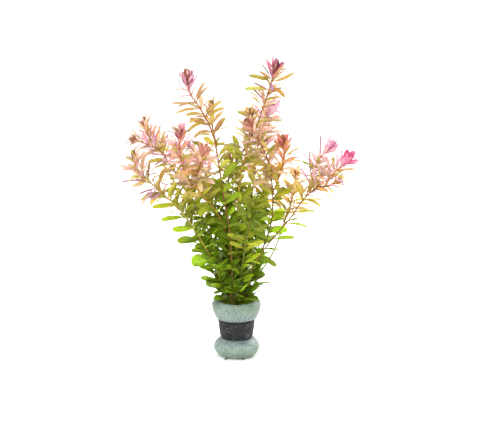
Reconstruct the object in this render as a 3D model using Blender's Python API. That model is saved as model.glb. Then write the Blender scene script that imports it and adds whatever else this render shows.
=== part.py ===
# A bunch of rotala, an aquarium plant. The cut ends of its stems stand in a sleeve of foam,
# and a strip of lead wound round the sleeve weighs the foot down.
# Lengths are millimetres and angles are degrees; MM makes metres of them as each object is made.
# The origin is on the floor in the middle of the sleeve, +Z is up and +Y points to the back.

import math
import random

import bmesh
import bpy
from mathutils import Matrix, Vector
from mathutils.bvhtree import BVHTree
from mathutils.geometry import interpolate_bezier

MM = 0.001
GAP = 0.3  # clear space between neighbouring pieces
SMOOTH_ANGLE = 40.0  # edges of the foam and the strip that turn by less than this are shaded smooth

# Foam sleeve, from the flat foot up its outer side and down the bore (radius, height)
FOAM_SIDES = 20
BORE_RADIUS = 6.4
MOUTH_RADIUS = 11.2
FOAM_PROFILE = (
    (11.8, 0.0), (13.0, 1.2), (16.0, 3.2), (17.5, 6.6), (16.4, 10.0), (12.9, 13.5), (10.7, 14.0),
    (12.3, 28.4), (14.6, 28.9), (17.4, 34.0), (18.5, 39.6), (17.4, 42.2), (14.4, 42.6),
    (MOUTH_RADIUS, 39.0), (8.8, 32.0), (BORE_RADIUS, 25.0), (BORE_RADIUS, 0.0),
)

# Lead strip, wound just over one turn with its ends lapped at the back
STRIP_BOTTOM = (14.3, 12.2)  # height and outer radius of its lower edge
STRIP_TOP = (28.1, 14.0)
STRIP_THICKNESS = 1.2
STRIP_START = 100.0
STRIP_TURN = 395.0
STRIP_RISE = 50.0  # angle over which the outer end climbs onto the inner one
STRIP_STEPS = 24

# Stems: half the side of their square section, and where their cut ends stand in the bore
STEM_HALF_FOOT = 0.75
STEM_HALF_TOP = 0.46
STEM_TAPER_LENGTH = 200.0
BRANCH_HALF_FOOT = 0.55
BRANCH_NEAREST = 1.2  # least distance from the parent's axis to a side branch's end
BRANCH_STEP = 0.2
BRANCH_BARE = 3.5  # length of a side branch below its lowest leaves
INNER_RING = 2.5
OUTER_RING = 4.9
STRAIGHT_HEIGHT = 26.0  # the stems run straight up the bore to here
RING_SPACING = 13.0  # most length of bare stem between two rings of its solid
CURVE_POINTS = 13  # points of the smooth curve from one route point to the next
STRETCH = 4.0  # length of stem that is tested for clearance in one piece

# Bud at the end of each shoot: distance below the tip, and half its width there
BUD_SECTIONS = ((7.0, 0.5), (4.4, 1.35), (1.7, 0.95))

# Leaves: each table runs down the shoot from the foot of its bud (distance, value)
LEAF_SPACING = ((0, 3.4), (10, 4.9), (25, 7.0), (60, 8.6), (110, 10.0))
LEAF_LENGTH = ((0, 11.0), (8, 14.5), (22, 17.0), (55, 17.5), (110, 16.0), (160, 13.5))
LEAF_WIDTH = ((0, 2.2), (8, 3.2), (25, 4.3), (55, 5.0), (80, 6.6), (105, 8.4), (150, 9.0))
LEAF_PITCH = ((0, 32), (6, 46), (16, 58), (60, 58), (100, 48), (150, 32))
LEAF_ROLL = ((0, 10), (10, 25), (30, 40), (110, 50))  # most that a blade turns about its midrib
LEAF_CURL = ((0, 18), (15, 28), (60, 26), (120, 16))
LEAF_LOWEST = 44.0  # no pair of leaves grows from a stem below this height
LOW_LEAF_CURL = 16.0
LOW_LEAF_STEP = 0.25
LEAF_KEEL = 0.45  # depth of the midrib under the blade
LEAF_FOOT = 0.5  # half the height of a leaf's foot on its stem
LEAF_OFF = 0.1  # space that a leaf of its own keeps to its stem beyond GAP
CORNER_SHARE = 1.3  # reach of a stem's corners over that of its sides, with the stem at a slant
PETIOLE_HALF = 0.5
ROLL_DONE = 0.3  # place along the midrib where a blade has turned fully

# How far single leaves stray from the tables: degrees either way, or a range of shares
TURN_STRAY = 16.0
PITCH_STRAY = 13.0
LENGTH_STRAY = (0.88, 1.08)
WIDTH_STRAY = (0.88, 1.1)
CURL_STRAY = (0.7, 1.4)
SPACING_STRAY = (0.92, 1.08)
BRANCH_SEED = 100  # the side branches draw their leaves from this seed on

# Blade outlines: place along the midrib, and the share of the full width there
LANCE_OUTLINE = ((0.42, 1.0),)
SPOON_OUTLINE = ((0.62, 1.0),)
BROAD_OUTLINE = ((0.34, 0.76), (0.76, 1.0))
SPOON_FROM = 55.0  # distance below the bud at which the leaves turn spoon shaped

# What a leaf tries where a neighbour is in its way: turn, share of its length, tilt
LEAF_TRIES = (
    (0, 1.0, 0), (14, 1.0, 0), (-14, 1.0, 0), (28, 0.95, 0), (-28, 0.95, 0), (0, 0.85, -12), (0, 0.85, 10),
    (20, 0.75, -10), (-20, 0.75, -10), (0, 0.65, 0), (36, 0.7, 8), (-36, 0.7, 8), (0, 0.5, 0),
)

GREEN = (0.20, 0.34, 0.04)
OLIVE = (0.42, 0.40, 0.10)
PEACH = (0.66, 0.38, 0.19)
PINK = (0.72, 0.27, 0.26)
FOAM_COLOUR = (0.42, 0.52, 0.46)
LEAD_COLOUR = (0.06, 0.06, 0.065)

# Broad low leaves that are pieces of their own, each on the stem that bears it:
# height, compass heading, length, width, tilt from the stem, turn about the midrib, and where a
# leaf droops more than the others, its curl
LOW_LEAVES = dict(
    far_left=(
        (52, 182, 10.5, 6.5, 48, 40), (47, -30, 11.5, 9.5, 46, -40), (75, 186, 15.0, 14.0, 62, 78),
        (91, 180, 17.0, 8.0, 56, -36), (99.5, 178, 15.5, 6.6, 54, -38), (108.5, 181, 18.0, 5.6, 52, -30),
        (117, 178, 17.0, 5.2, 42, -34), (127, 184, 12.5, 4.4, 46, -28),
    ),
    left=((45.5, 196, 12.5, 8.5, 30, 35), (56, 120, 13.0, 8.0, 40, 20)),
    tall_left=((49, 262, 11.0, 8.5, 22, 12), (62, 230, 14.0, 8.5, 40, -30)),
    front=((50, 300, 13.0, 9.0, 30, 25),),
    far_right=(
        (47, 10, 12.5, 6.5, 24, 35), (77, -5, 15.0, 5.4, 60, 40, 45), (91, 0, 16.0, 4.4, 34, 34, 26),
        (103, 4, 16.0, 3.4, 42, 24, 40), (112, -2, 15.0, 3.0, 46, 24, 18),
    ),
    rear_mid=((48, 70, 13.0, 9.0, 34, 20),),
)

# Each shoot: its place in the bore, the turn of its leaf pairs, how many of its lowest pairs are
# leaves of their own, its colour, the points that its stem passes through above the bore, and the
# height of its lowest pair where the stem is bare to above LEAF_LOWEST
SHOOTS = (
    dict(name="far_left", ring=OUTER_RING, place=202.5, turn=22, loose=0, colour=OLIVE, route=(
        (-9, -3, 44), (-14, -6, 66), (-23, -9, 85), (-38, -12, 110), (-56, -15, 129), (-69, -17, 142),
        (-74, -18, 150), (-74, -18, 160))),
    dict(name="left", ring=OUTER_RING, place=157.5, turn=38, loose=1, colour=OLIVE, route=(
        (-6, 3, 43), (-9, 3, 59), (-19, 4, 90), (-28, 5, 111), (-38, 7, 125), (-47, 9, 141),
        (-59, 11, 157), (-66, 12, 166), (-69, 13, 179))),
    dict(name="tall_left", ring=OUTER_RING, place=247.5, turn=40, loose=1, colour=PEACH, route=(
        (-2, -6, 46), (-3, -8, 67), (-5, -10, 97), (-9, -13, 121), (-13, -16, 150), (-17, -18, 171),
        (-27, -21, 192), (-33, -22, 201), (-35, -23, 218))),
    dict(name="tall_right", ring=0, place=0, turn=50, loose=0, colour=PEACH, route=(
        (-2, 4, 42), (-6, 7, 79), (-7, 8, 117), (-4, 7, 140), (5, 5, 155), (14, 3, 172),
        (20, 2, 189), (26, 0, 208), (30, 0, 221))),
    dict(name="centre", ring=INNER_RING, place=252, turn=35, loose=1, colour=OLIVE, route=(
        (2, 0, 44), (1, -1, 81), (1, -2, 115), (4, -4, 143), (8, -6, 160), (10, -7, 174), (11, -8, 189))),
    dict(name="rear_right", ring=INNER_RING, place=36, turn=60, loose=2, colour=PINK, route=(
        (6, 6, 42), (8, 14, 85), (12, 21, 122), (17, 27, 159), (24, 30, 179), (30, 31, 190))),
    dict(name="right", ring=INNER_RING, place=324, turn=48, loose=1, colour=OLIVE, route=(
        (5, 2, 43), (12, 5, 63), (19, 7, 79), (26, 8, 101), (27, 6, 114), (26, 0, 132),
        (23, -7, 150), (16, -13, 166), (8, -16, 180))),
    dict(name="far_right", ring=OUTER_RING, place=337.5, turn=45, loose=0, lowest=118, colour=OLIVE, route=(
        (8, -3, 45), (12, -6, 70), (24, -8, 88), (40, -10, 108), (51, -12, 124), (60, -13, 131),
        (70, -13, 133), (77, -13, 139))),
    dict(name="low_right", ring=OUTER_RING, place=22.5, turn=30, loose=0, lowest=98, colour=OLIVE, route=(
        (9, 2, 43), (16, 8, 58), (28, 13, 77), (36, 16, 99), (42, 17, 117), (45, 17, 140))),
    dict(name="centre_left", ring=INNER_RING, place=180, turn=55, loose=1, colour=PEACH, route=(
        (-4, 0, 44), (-4, 0, 72), (-6, -2, 89), (-17, -8, 115), (-29, -14, 130), (-38, -18, 145),
        (-41, -21, 162), (-40, -23, 178))),
    dict(name="rear_left", ring=OUTER_RING, place=112.5, turn=25, loose=1, colour=PEACH, route=(
        (-5, 7, 42), (-9, 15, 74), (-16, 23, 102), (-22, 29, 128), (-29, 33, 145), (-38, 35, 157))),
    dict(name="rear", ring=INNER_RING, place=108, turn=45, loose=1, colour=GREEN, route=(
        (1, 9, 42), (1, 18, 73), (-2, 27, 101), (-3, 34, 127), (-6, 38, 148))),
    dict(name="rear_mid", ring=OUTER_RING, place=67.5, turn=65, loose=2, colour=OLIVE, route=(
        (4, 9, 42), (8, 17, 73), (15, 27, 98), (20, 34, 119), (25, 39, 137))),
    dict(name="front", ring=OUTER_RING, place=292.5, turn=40, loose=2, colour=GREEN, route=(
        (3, -6, 46), (4, -12, 70), (7, -22, 92), (10, -33, 112), (12, -43, 128))),
)

# Side branches, whose first point is on the parent stem's axis
BRANCHES = (
    dict(name="left_fork", turn=0, colour=PINK, route=(
        (-52, 10, 150), (-58, 4, 156), (-67, 1, 161), (-79, 0, 165))),
    dict(name="tall_left_fork", turn=20, colour=PEACH, route=(
        (-14, -17, 162), (-17, -11, 173), (-18, -8, 183), (-18, -7, 194))),
    dict(name="right_fork", turn=10, colour=PINK, route=(
        (27, 3, 124), (32, 4, 137), (35, 4, 149), (34, 3, 165))),
    dict(name="far_right_fork", turn=0, colour=PINK, route=(
        (51, -12, 124), (54, -8, 133), (57, -5, 140), (62, -3, 152), (70, -2, 160))),
    dict(name="far_right_twig", turn=30, colour=PINK, route=(
        (65, -13, 132), (69, -17, 140), (75, -19, 147), (82, -20, 155))),
    dict(name="centre_left_fork", turn=15, colour=PINK, route=(
        (-29, -14, 130), (-27, -19, 141), (-26, -23, 151), (-22, -26, 164))),
)

# Two cut ends that show under the front of the foam: direction, length and height
STEM_ENDS = (("left", 238.0, 3.6, 1.1), ("right", 291.0, 3.0, 0.9))
STEM_END_START = 13.2
STEM_END_TAPER = 0.77


def clear_scene():
    for ob in list(bpy.data.objects):
        bpy.data.objects.remove(ob, do_unlink=True)


def make_material(name, colour, roughness=0.5, metallic=0.0):
    material = bpy.data.materials.new(name)
    material.use_nodes = True
    surface = material.node_tree.nodes["Principled BSDF"]
    surface.inputs["Base Color"].default_value = (*colour, 1.0)
    surface.inputs["Roughness"].default_value = roughness
    surface.inputs["Metallic"].default_value = metallic
    return material


def make_object(name, bm, material, smooth=None):
    # Turns a model in millimetres into an object in metres
    bmesh.ops.recalc_face_normals(bm, faces=bm.faces)
    bmesh.ops.scale(bm, vec=(MM, MM, MM), verts=bm.verts)
    mesh = bpy.data.meshes.new(name)
    bm.to_mesh(mesh)
    bm.free()
    if smooth:
        mesh.shade_smooth()
        mesh.set_sharp_from_angle(angle=math.radians(smooth))
    mesh.materials.append(material)
    ob = bpy.data.objects.new(name, mesh)
    bpy.context.scene.collection.objects.link(ob)
    return ob


def blend(table, place):
    # Value of a (place, value) table at a place between its entries
    previous = table[0]
    for entry in table:
        if place <= entry[0]:
            span = entry[0] - previous[0]
            share = (place - previous[0]) / span if span else 0.0
            return previous[1] + (entry[1] - previous[1]) * share
        previous = entry
    return previous[1]


def start_face(bm, corners):
    # A four-sided face at the given corners, from which a solid is extruded
    bmesh.ops.create_circle(bm, cap_ends=True, segments=4, radius=1.0)
    face = bm.faces[:][-1]
    for vert, corner in zip(face.verts, corners):
        vert.co = corner
    return face


def push_face(bm, face, corners):
    # Extrudes a face and moves its corners, in their order round the face
    pushed = bmesh.ops.extrude_discrete_faces(bm, faces=[face])["faces"][0]
    for vert, corner in zip(pushed.verts, corners):
        vert.co = corner
    return pushed


def close_solid(bm):
    # Caps the end that the first extrusion left open, and joins the corners that meet in one point
    bmesh.ops.holes_fill(bm, edges=bm.edges[:], sides=4)
    bmesh.ops.remove_doubles(bm, verts=bm.verts, dist=1e-4)


class Route:
    # A smooth curve through points, with two side directions carried along it without twist

    def __init__(self, points, turn):
        knots = [Vector(p) for p in points]
        slopes = self.slopes(knots)
        self.spots = []
        for a, b, slope_a, slope_b in zip(knots, knots[1:], slopes, slopes[1:]):
            third = (b - a).length / 3
            curve = interpolate_bezier(a, a + slope_a * third, b - slope_b * third, b, CURVE_POINTS)
            self.spots += curve[:-1]
        self.spots.append(knots[-1])
        self.reach = [0.0]
        for a, b in zip(self.spots, self.spots[1:]):
            self.reach.append(self.reach[-1] + (b - a).length)
        self.length = self.reach[-1]
        self.sides = []
        side = Vector((math.cos(math.radians(turn)), math.sin(math.radians(turn)), 0.0))
        for i in range(len(self.spots)):
            along = self.direction(i)
            side = (side - along * side.dot(along)).normalized()
            self.sides.append(side)

    def slopes(self, knots):
        # Direction of the curve at each point, weighted to the nearer neighbour
        steps = [b - a for a, b in zip(knots, knots[1:])]
        result = [steps[0].normalized()]
        for before, after in zip(steps, steps[1:]):
            weighted = before.normalized() * after.length + after.normalized() * before.length
            result.append(weighted.normalized())
        result.append(steps[-1].normalized())
        return result

    def direction(self, i):
        first = self.spots[max(i - 1, 0)]
        last = self.spots[min(i + 1, len(self.spots) - 1)]
        return (last - first).normalized()

    def at(self, distance):
        # Position, direction and the two side directions at a distance along the curve
        i = 0
        while i < len(self.spots) - 2 and self.reach[i + 1] < distance:
            i += 1
        share = (distance - self.reach[i]) / (self.reach[i + 1] - self.reach[i])
        spot = self.spots[i].lerp(self.spots[i + 1], share)
        along = self.direction(i).lerp(self.direction(i + 1), share).normalized()
        side = self.sides[i].lerp(self.sides[i + 1], share)
        side = (side - along * side.dot(along)).normalized()
        return spot, along, side, along.cross(side)


def square_corners(spot, side, other, half):
    return [spot + side * (a * half) + other * (b * half) for a, b in ((1, -1), (1, 1), (-1, 1), (-1, -1))]


def leaf_row(leaf, u, width_share, swell):
    # Left edge, right edge and keel of a leaf at a place along its midrib
    start = math.radians(leaf["pitch"])
    bend = math.radians(leaf["curl"])
    angle = start + bend * u
    out = leaf["out"]
    up = leaf["up"]
    curve = out * (math.cos(start) - math.cos(angle)) + up * (math.sin(angle) - math.sin(start))
    middle = leaf["base"] + curve * (leaf["length"] / bend)
    flat = up.cross(out)
    normal = up * math.sin(angle) - out * math.cos(angle)
    roll = math.radians(leaf["roll"]) * min(1.0, u / ROLL_DONE)
    across = flat * math.cos(roll) + normal * math.sin(roll)
    upper = normal * math.cos(roll) - flat * math.sin(roll)
    half = across * (leaf["width"] * width_share / 2 + swell)
    edge = middle + upper * swell
    return edge - half, edge + half, middle - upper * (LEAF_KEEL + swell)


def leaf_rows(leaf, swell=0.0):
    rows = [leaf_row(leaf, u, share, swell) for u, share in leaf["outline"]]
    tip = leaf_row(leaf, 1.0 + swell / leaf["length"], 0.0, 0.0)[0]
    return rows, tip


def leaf_tree(leaf, swell=0.0, with_foot=True):
    # Search tree of a leaf's surface, swollen by the clear space that it needs
    rows, tip = leaf_rows(leaf, swell)
    if with_foot:
        rows = [leaf_row(leaf, 0.0, 2 * PETIOLE_HALF / leaf["width"], swell), *rows]
    points = []
    faces = []
    for left, right, keel in rows:
        points += [left, right, keel]
    for k in range(0, len(points) - 3, 3):
        faces += [(k, k + 1, k + 4, k + 3), (k, k + 3, k + 5, k + 2), (k + 1, k + 2, k + 5, k + 4)]
    k = len(points) - 3
    points.append(tip)
    faces += [(k, k + 1, k + 3), (k, k + 3, k + 2), (k + 1, k + 2, k + 3)]
    centre = sum(points, Vector()) / len(points)
    radius = max((p - centre).length for p in points)
    return dict(tree=BVHTree.FromPolygons(points, faces), centre=centre, radius=radius)


def extrude_leaf(bm, face, leaf):
    # Draws a blade out of a face: each section's two lower corners meet in its keel
    centre = face.calc_center_median()
    across = leaf["up"].cross(leaf["out"])
    rows, tip = leaf_rows(leaf)
    places = []
    for vert in face.verts:
        offset = vert.co - centre
        place = 1 if offset.dot(across) > 0 else 0
        places.append(place if offset.dot(leaf["up"]) > 0 else 2)
    for row in rows:
        face = push_face(bm, face, [row[place] for place in places])
    push_face(bm, face, [tip] * 4)


def tube_trees(route, start, end, half_at):
    # Search trees of a stem's surface, one for each short stretch
    count = max(1, round((end - start) / STRETCH))
    marks = [start + (end - start) * i / count for i in range(count + 1)]
    result = []
    for a, b in zip(marks, marks[1:]):
        points = []
        for mark in (a, b):
            spot, along, side, other = route.at(mark)
            points += square_corners(spot, side, other, half_at(mark))
        faces = [(i, (i + 1) % 4, 4 + (i + 1) % 4, 4 + i) for i in range(4)]
        centre = sum(points, Vector()) / 8
        radius = max((p - centre).length for p in points)
        tree = BVHTree.FromPolygons(points, faces)
        result.append(dict(tree=tree, centre=centre, radius=radius))
    return result


def stem_trees(shoot):
    # Search trees of a whole stem, marked with its name
    trees = tube_trees(shoot["route"], shoot["start"], shoot["route"].length, shoot["half_at"])
    return [dict(tree, shoot=shoot["name"]) for tree in trees]


def object_tree(ob):
    points = [v.co / MM for v in ob.data.vertices]
    faces = [tuple(p.vertices) for p in ob.data.polygons]
    centre = sum(points, Vector()) / len(points)
    radius = max((p - centre).length for p in points)
    return dict(tree=BVHTree.FromPolygons(points, faces), centre=centre, radius=radius)


def is_free(leaf, obstacles, shoot):
    # True if a leaf keeps clear of everything, its foot excepted where it meets its own stem
    whole = leaf_tree(leaf, GAP)
    blade = leaf_tree(leaf, GAP, with_foot=False)
    for item in obstacles:
        if (item["centre"] - whole["centre"]).length > item["radius"] + whole["radius"]:
            continue
        body = blade if item.get("shoot") == shoot else whole
        if item["tree"].overlap(body["tree"]):
            return False
    return True


def foam_sleeve():
    # A turned sleeve: the strip pinches its waist, and the stems fill its bore
    bm = bmesh.new()
    bmesh.ops.create_circle(bm, segments=len(FOAM_PROFILE), radius=1.0)
    for vert, (radius, height) in zip(bm.verts, FOAM_PROFILE):
        vert.co = (radius, 0.0, height)
    bmesh.ops.spin(
        bm, geom=bm.verts[:] + bm.edges[:], cent=(0, 0, 0), axis=(0, 0, 1),
        angle=math.tau, steps=FOAM_SIDES, use_merge=True, use_duplicate=False,
    )
    material = make_material("foam", FOAM_COLOUR, roughness=0.7)
    return make_object("foam_wrap", bm, material, smooth=SMOOTH_ANGLE)


def strip_corners(angle):
    # Corners of the strip's cross-section at an angle from its inner end
    climb = min(1.0, max(0.0, (angle - 360.0 + STRIP_RISE) / STRIP_RISE))
    lift = (STRIP_THICKNESS + GAP) * climb
    turned = math.radians(STRIP_START + angle)
    outward = Vector((math.cos(turned), math.sin(turned), 0.0))
    corners = []
    for (height, radius), inset in (
        (STRIP_BOTTOM, STRIP_THICKNESS), (STRIP_BOTTOM, 0.0), (STRIP_TOP, 0.0), (STRIP_TOP, STRIP_THICKNESS),
    ):
        corners.append(outward * (radius - inset + lift) + Vector((0.0, 0.0, height)))
    return corners


def lead_strip():
    bm = bmesh.new()
    face = start_face(bm, strip_corners(0.0))
    for step in range(1, STRIP_STEPS + 1):
        face = push_face(bm, face, strip_corners(STRIP_TURN * step / STRIP_STEPS))
    close_solid(bm)
    material = make_material("lead", LEAD_COLOUR, roughness=0.75)
    return make_object("weight_strip", bm, material, smooth=SMOOTH_ANGLE)


def stem_end(label, heading, length, height):
    # A cut end that lies on the floor and points out from under the foam
    radius = height / 2
    bm = bmesh.new()
    bmesh.ops.create_cone(
        bm, cap_ends=True, segments=6, radius1=radius, radius2=radius * STEM_END_TAPER, depth=length,
    )
    laid = Matrix.Rotation(math.radians(90), 3, "Y")
    aimed = Matrix.Rotation(math.radians(heading), 3, "Z")
    bmesh.ops.rotate(bm, verts=bm.verts, cent=(0, 0, 0), matrix=laid)
    bmesh.ops.translate(bm, verts=bm.verts, vec=(STEM_END_START + length / 2, 0.0, radius))
    bmesh.ops.rotate(bm, verts=bm.verts, cent=(0, 0, 0), matrix=aimed)
    return make_object(f"stem_end_{label}", bm, make_material(f"cut_{label}", OLIVE, roughness=0.6))


def low_leaf(route, half_at, height, heading, length, width, pitch, roll, curl=LOW_LEAF_CURL):
    # A broad leaf that grows from a stem at a given height towards a given heading
    place = 0.0
    while route.at(place)[0].z < height:
        place += LOW_LEAF_STEP
    spot, along, side, other = route.at(place)
    outward = Vector((math.cos(math.radians(heading)), math.sin(math.radians(heading)), 0.0))
    axis = (outward - along * outward.dot(along)).normalized()
    return dict(
        spot=spot, up=along, axis=axis, place=place, below_bud=route.length - place, stem=half_at(place),
        turn=0.0, roll=roll, length=length, width=width, pitch=pitch, curl=curl,
    )


def branch_start(route, half_at, stems):
    # Where a side branch can begin, clear of its parent stem
    start = BRANCH_NEAREST
    while True:
        foot = tube_trees(route, start - GAP, start + BRANCH_BARE, lambda place: half_at(place) + GAP)
        if not any(stem["tree"].overlap(piece["tree"]) for stem in stems for piece in foot):
            return start
        start += BRANCH_STEP


def plan_shoot(spec, number, stems=None):
    # The route of a stem, its thickness, and the leaves it would bear if nothing were in the way;
    # a side branch is given the stems that it starts beside
    if stems:
        route = Route(spec["route"], spec["turn"])
        foot = BRANCH_HALF_FOOT
        taper_length = route.length
    else:
        angle = math.radians(spec["place"])
        x = spec["ring"] * math.cos(angle)
        y = spec["ring"] * math.sin(angle)
        bore = ((x, y, 0.0), (x, y, STRAIGHT_HEIGHT / 2), (x, y, STRAIGHT_HEIGHT))
        route = Route((*bore, *spec["route"]), spec["turn"])
        foot = STEM_HALF_FOOT
        taper_length = STEM_TAPER_LENGTH

    def half_at(distance):
        share = min(1.0, (route.length - distance) / taper_length)
        return STEM_HALF_TOP + (foot - STEM_HALF_TOP) * share

    start = branch_start(route, half_at, stems) if stems else 0.0

    rng = random.Random(number)
    lowest = spec.get("lowest", LEAF_LOWEST)
    pairs = []
    place = route.length - BUD_SECTIONS[0][0]
    below_bud = 0.0
    while True:
        spot, along, side, other = route.at(place)
        if place < start + BRANCH_BARE or spot.z < lowest:
            break
        axis = side if len(pairs) % 2 == 0 else other
        pair = []
        for sign in (1, -1):
            pair.append(dict(
                spot=spot, up=along, axis=axis * sign, place=place, below_bud=below_bud,
                stem=half_at(place), turn=rng.uniform(-TURN_STRAY, TURN_STRAY),
                roll=blend(LEAF_ROLL, below_bud) * rng.uniform(-1, 1),
                length=blend(LEAF_LENGTH, below_bud) * rng.uniform(*LENGTH_STRAY),
                width=blend(LEAF_WIDTH, below_bud) * rng.uniform(*WIDTH_STRAY),
                pitch=blend(LEAF_PITCH, below_bud) + rng.uniform(-PITCH_STRAY, PITCH_STRAY),
                curl=blend(LEAF_CURL, below_bud) * rng.uniform(*CURL_STRAY),
            ))
        pairs.append(pair)
        step = blend(LEAF_SPACING, below_bud) * rng.uniform(*SPACING_STRAY)
        place -= step
        below_bud += step
    own = [[low_leaf(route, half_at, *leaf)] for leaf in LOW_LEAVES.get(spec["name"], ())]
    loose = spec.get("loose", 0)
    label = "branch" if stems else "shoot"
    return dict(
        name=f"{label}_{spec['name']}", short=spec["name"], route=route, start=start, half_at=half_at,
        colour=spec["colour"], pairs=pairs[:len(pairs) - loose], loose=own + pairs[len(pairs) - loose:],
    )


def leaf_variant(plan, attempt, is_loose):
    # The leaf that one entry of LEAF_TRIES makes of a planned leaf
    turn, share, tilt = attempt
    out = Matrix.Rotation(math.radians(plan["turn"] + turn), 3, plan["up"]) @ plan["axis"]
    length = plan["length"] * share
    width = plan["width"] * (1 + share) / 2
    leaf = dict(plan, out=out, length=length, width=width, pitch=plan["pitch"] + tilt)
    if is_loose:
        leaf["base"] = plan["spot"] + out * (plan["stem"] * CORNER_SHARE + GAP + LEAF_OFF)
        leaf["outline"] = BROAD_OUTLINE
    else:
        leaf["base"] = plan["spot"] + plan["axis"] * plan["stem"]
        leaf["outline"] = SPOON_OUTLINE if plan["below_bud"] > SPOON_FROM else LANCE_OUTLINE
    return leaf


def settle_leaves(pairs, shoot, obstacles, is_loose):
    # Keeps the first free variant of each planned leaf, and leaves out one that has none
    for pair in pairs:
        for i, plan in enumerate(pair):
            pair[i] = None
            for attempt in LEAF_TRIES:
                leaf = leaf_variant(plan, attempt, is_loose)
                if is_free(leaf, obstacles, shoot["name"]):
                    pair[i] = leaf
                    obstacles.append(leaf_tree(leaf))
                    break


def stem_rings(shoot):
    # Places of a stem's rings, each with the leaves that grow from the stretch just below it
    bud_foot = shoot["route"].length - BUD_SECTIONS[0][0] + LEAF_FOOT
    marks = [(shoot["start"], ()), (bud_foot, ())]
    for pair in shoot["pairs"]:
        leaves = [leaf for leaf in pair if leaf]
        if leaves:
            place = leaves[0]["place"]
            marks += [(place - LEAF_FOOT, ()), (place + LEAF_FOOT, leaves)]
    marks += [(leaf["place"], ()) for pair in shoot["loose"] for leaf in pair if leaf]
    marks.sort(key=lambda mark: mark[0])
    rings = marks[:1]
    for place, leaves in marks[1:]:
        below = rings[-1][0]
        if place - below < LEAF_FOOT:
            rings[-1] = (rings[-1][0], rings[-1][1] or leaves)
            continue
        stretches = math.ceil((place - below) / RING_SPACING)
        rings += [(below + (place - below) * i / stretches, ()) for i in range(1, stretches)]
        rings.append((place, leaves))
    return rings


def shoot_solid(shoot):
    # A square stem with its leaves drawn out of its sides, ending in a pointed bud
    route = shoot["route"]
    bm = bmesh.new()
    face = None
    for place, leaves in stem_rings(shoot):
        spot, along, side, other = route.at(place)
        corners = square_corners(spot, side, other, shoot["half_at"](place))
        if face is None:
            face = start_face(bm, corners)
            continue
        face = push_face(bm, face, corners)
        for leaf in leaves:
            walls = [f for edge in face.edges for f in edge.link_faces if f is not face]
            wall = max(walls, key=lambda f: (f.calc_center_median() - spot).dot(leaf["axis"]))
            extrude_leaf(bm, wall, leaf)
    for below, half in BUD_SECTIONS[1:]:
        spot, along, side, other = route.at(route.length - below)
        face = push_face(bm, face, square_corners(spot, side, other, half))
    push_face(bm, face, [route.spots[-1]] * 4)
    close_solid(bm)
    material = make_material(shoot["name"], shoot["colour"], roughness=0.45)
    return make_object(shoot["name"], bm, material)


def leaf_solid(name, leaf):
    # A broad leaf on a short stalk of its own
    bm = bmesh.new()
    across = leaf["up"].cross(leaf["out"])
    face = start_face(bm, square_corners(leaf["base"], across, leaf["up"], PETIOLE_HALF))
    extrude_leaf(bm, face, leaf)
    close_solid(bm)
    return make_object(name, bm, make_material(name, GREEN, roughness=0.45))


def main():
    clear_scene()
    fixed = [foam_sleeve(), lead_strip()]
    for end in STEM_ENDS:
        stem_end(*end)
    obstacles = [object_tree(ob) for ob in fixed]
    shoots = [plan_shoot(spec, number) for number, spec in enumerate(SHOOTS)]
    stems = [tree for shoot in shoots for tree in stem_trees(shoot)]
    branches = [plan_shoot(spec, BRANCH_SEED + number, stems) for number, spec in enumerate(BRANCHES)]
    obstacles += stems + [tree for branch in branches for tree in stem_trees(branch)]
    shoots += branches
    for shoot in shoots:
        settle_leaves(shoot["loose"], shoot, obstacles, True)
        settle_leaves(shoot["pairs"], shoot, obstacles, False)
    for shoot in shoots:
        shoot_solid(shoot)
        leaves = [leaf for pair in shoot["loose"] for leaf in pair if leaf]
        for number, leaf in enumerate(leaves, 1):
            leaf_solid(f"leaf_{shoot['short']}_{number}", leaf)


main()
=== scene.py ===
import math
import random

import bmesh
import bpy
from mathutils import Matrix, Vector, noise
from mathutils.geometry import interpolate_bezier
from mathutils.kdtree import KDTree


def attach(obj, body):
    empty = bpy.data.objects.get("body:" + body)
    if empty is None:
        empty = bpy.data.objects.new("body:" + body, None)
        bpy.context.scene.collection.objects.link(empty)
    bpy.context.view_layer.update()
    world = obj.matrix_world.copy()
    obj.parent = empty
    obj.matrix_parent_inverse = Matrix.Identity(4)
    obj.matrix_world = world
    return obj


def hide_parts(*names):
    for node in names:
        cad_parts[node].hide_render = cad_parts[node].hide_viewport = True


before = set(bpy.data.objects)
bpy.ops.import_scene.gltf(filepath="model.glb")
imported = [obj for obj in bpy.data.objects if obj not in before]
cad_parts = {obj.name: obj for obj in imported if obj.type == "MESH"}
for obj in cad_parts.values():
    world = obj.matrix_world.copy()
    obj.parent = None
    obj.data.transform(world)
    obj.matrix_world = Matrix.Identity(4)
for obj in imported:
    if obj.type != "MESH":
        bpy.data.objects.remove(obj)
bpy.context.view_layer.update()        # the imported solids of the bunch, its body and its record

# A bunch of rotala: leafy stems in a roll of foam with a strip of lead round its waist.
# Lengths are millimetres and angles are degrees. Each mesh is scaled to metres as it becomes an object.

mm = 0.001
upright = Vector((0.0, 0.0, 1.0))


def linear(tone):
    # a screen colour, 0 to 255, as linear light with an alpha of 1
    return (*((c / 255) ** 2.2 for c in tone), 1.0)


def blend(table, place):
    # value of a (place, value) table at a place between its entries, as numbers or as colours
    previous = table[0]
    for entry in table:
        if place <= entry[0]:
            span = entry[0] - previous[0]
            share = max(0.0, (place - previous[0]) / span) if span else 0.0
            if isinstance(entry[1], tuple):
                return mixed(previous[1], entry[1], share)
            return previous[1] + (entry[1] - previous[1]) * share
        previous = entry
    return previous[1]


def mixed(first, second, share):
    return tuple(a + (b - a) * share for a, b in zip(first, second))


def level(heading):
    # a level direction: 0 points right, 90 away from the viewer
    return Vector((math.cos(math.radians(heading)), math.sin(math.radians(heading)), 0.0))


def turned(direction, degrees, axis):
    return Matrix.Rotation(math.radians(degrees), 3, axis) @ direction


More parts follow.
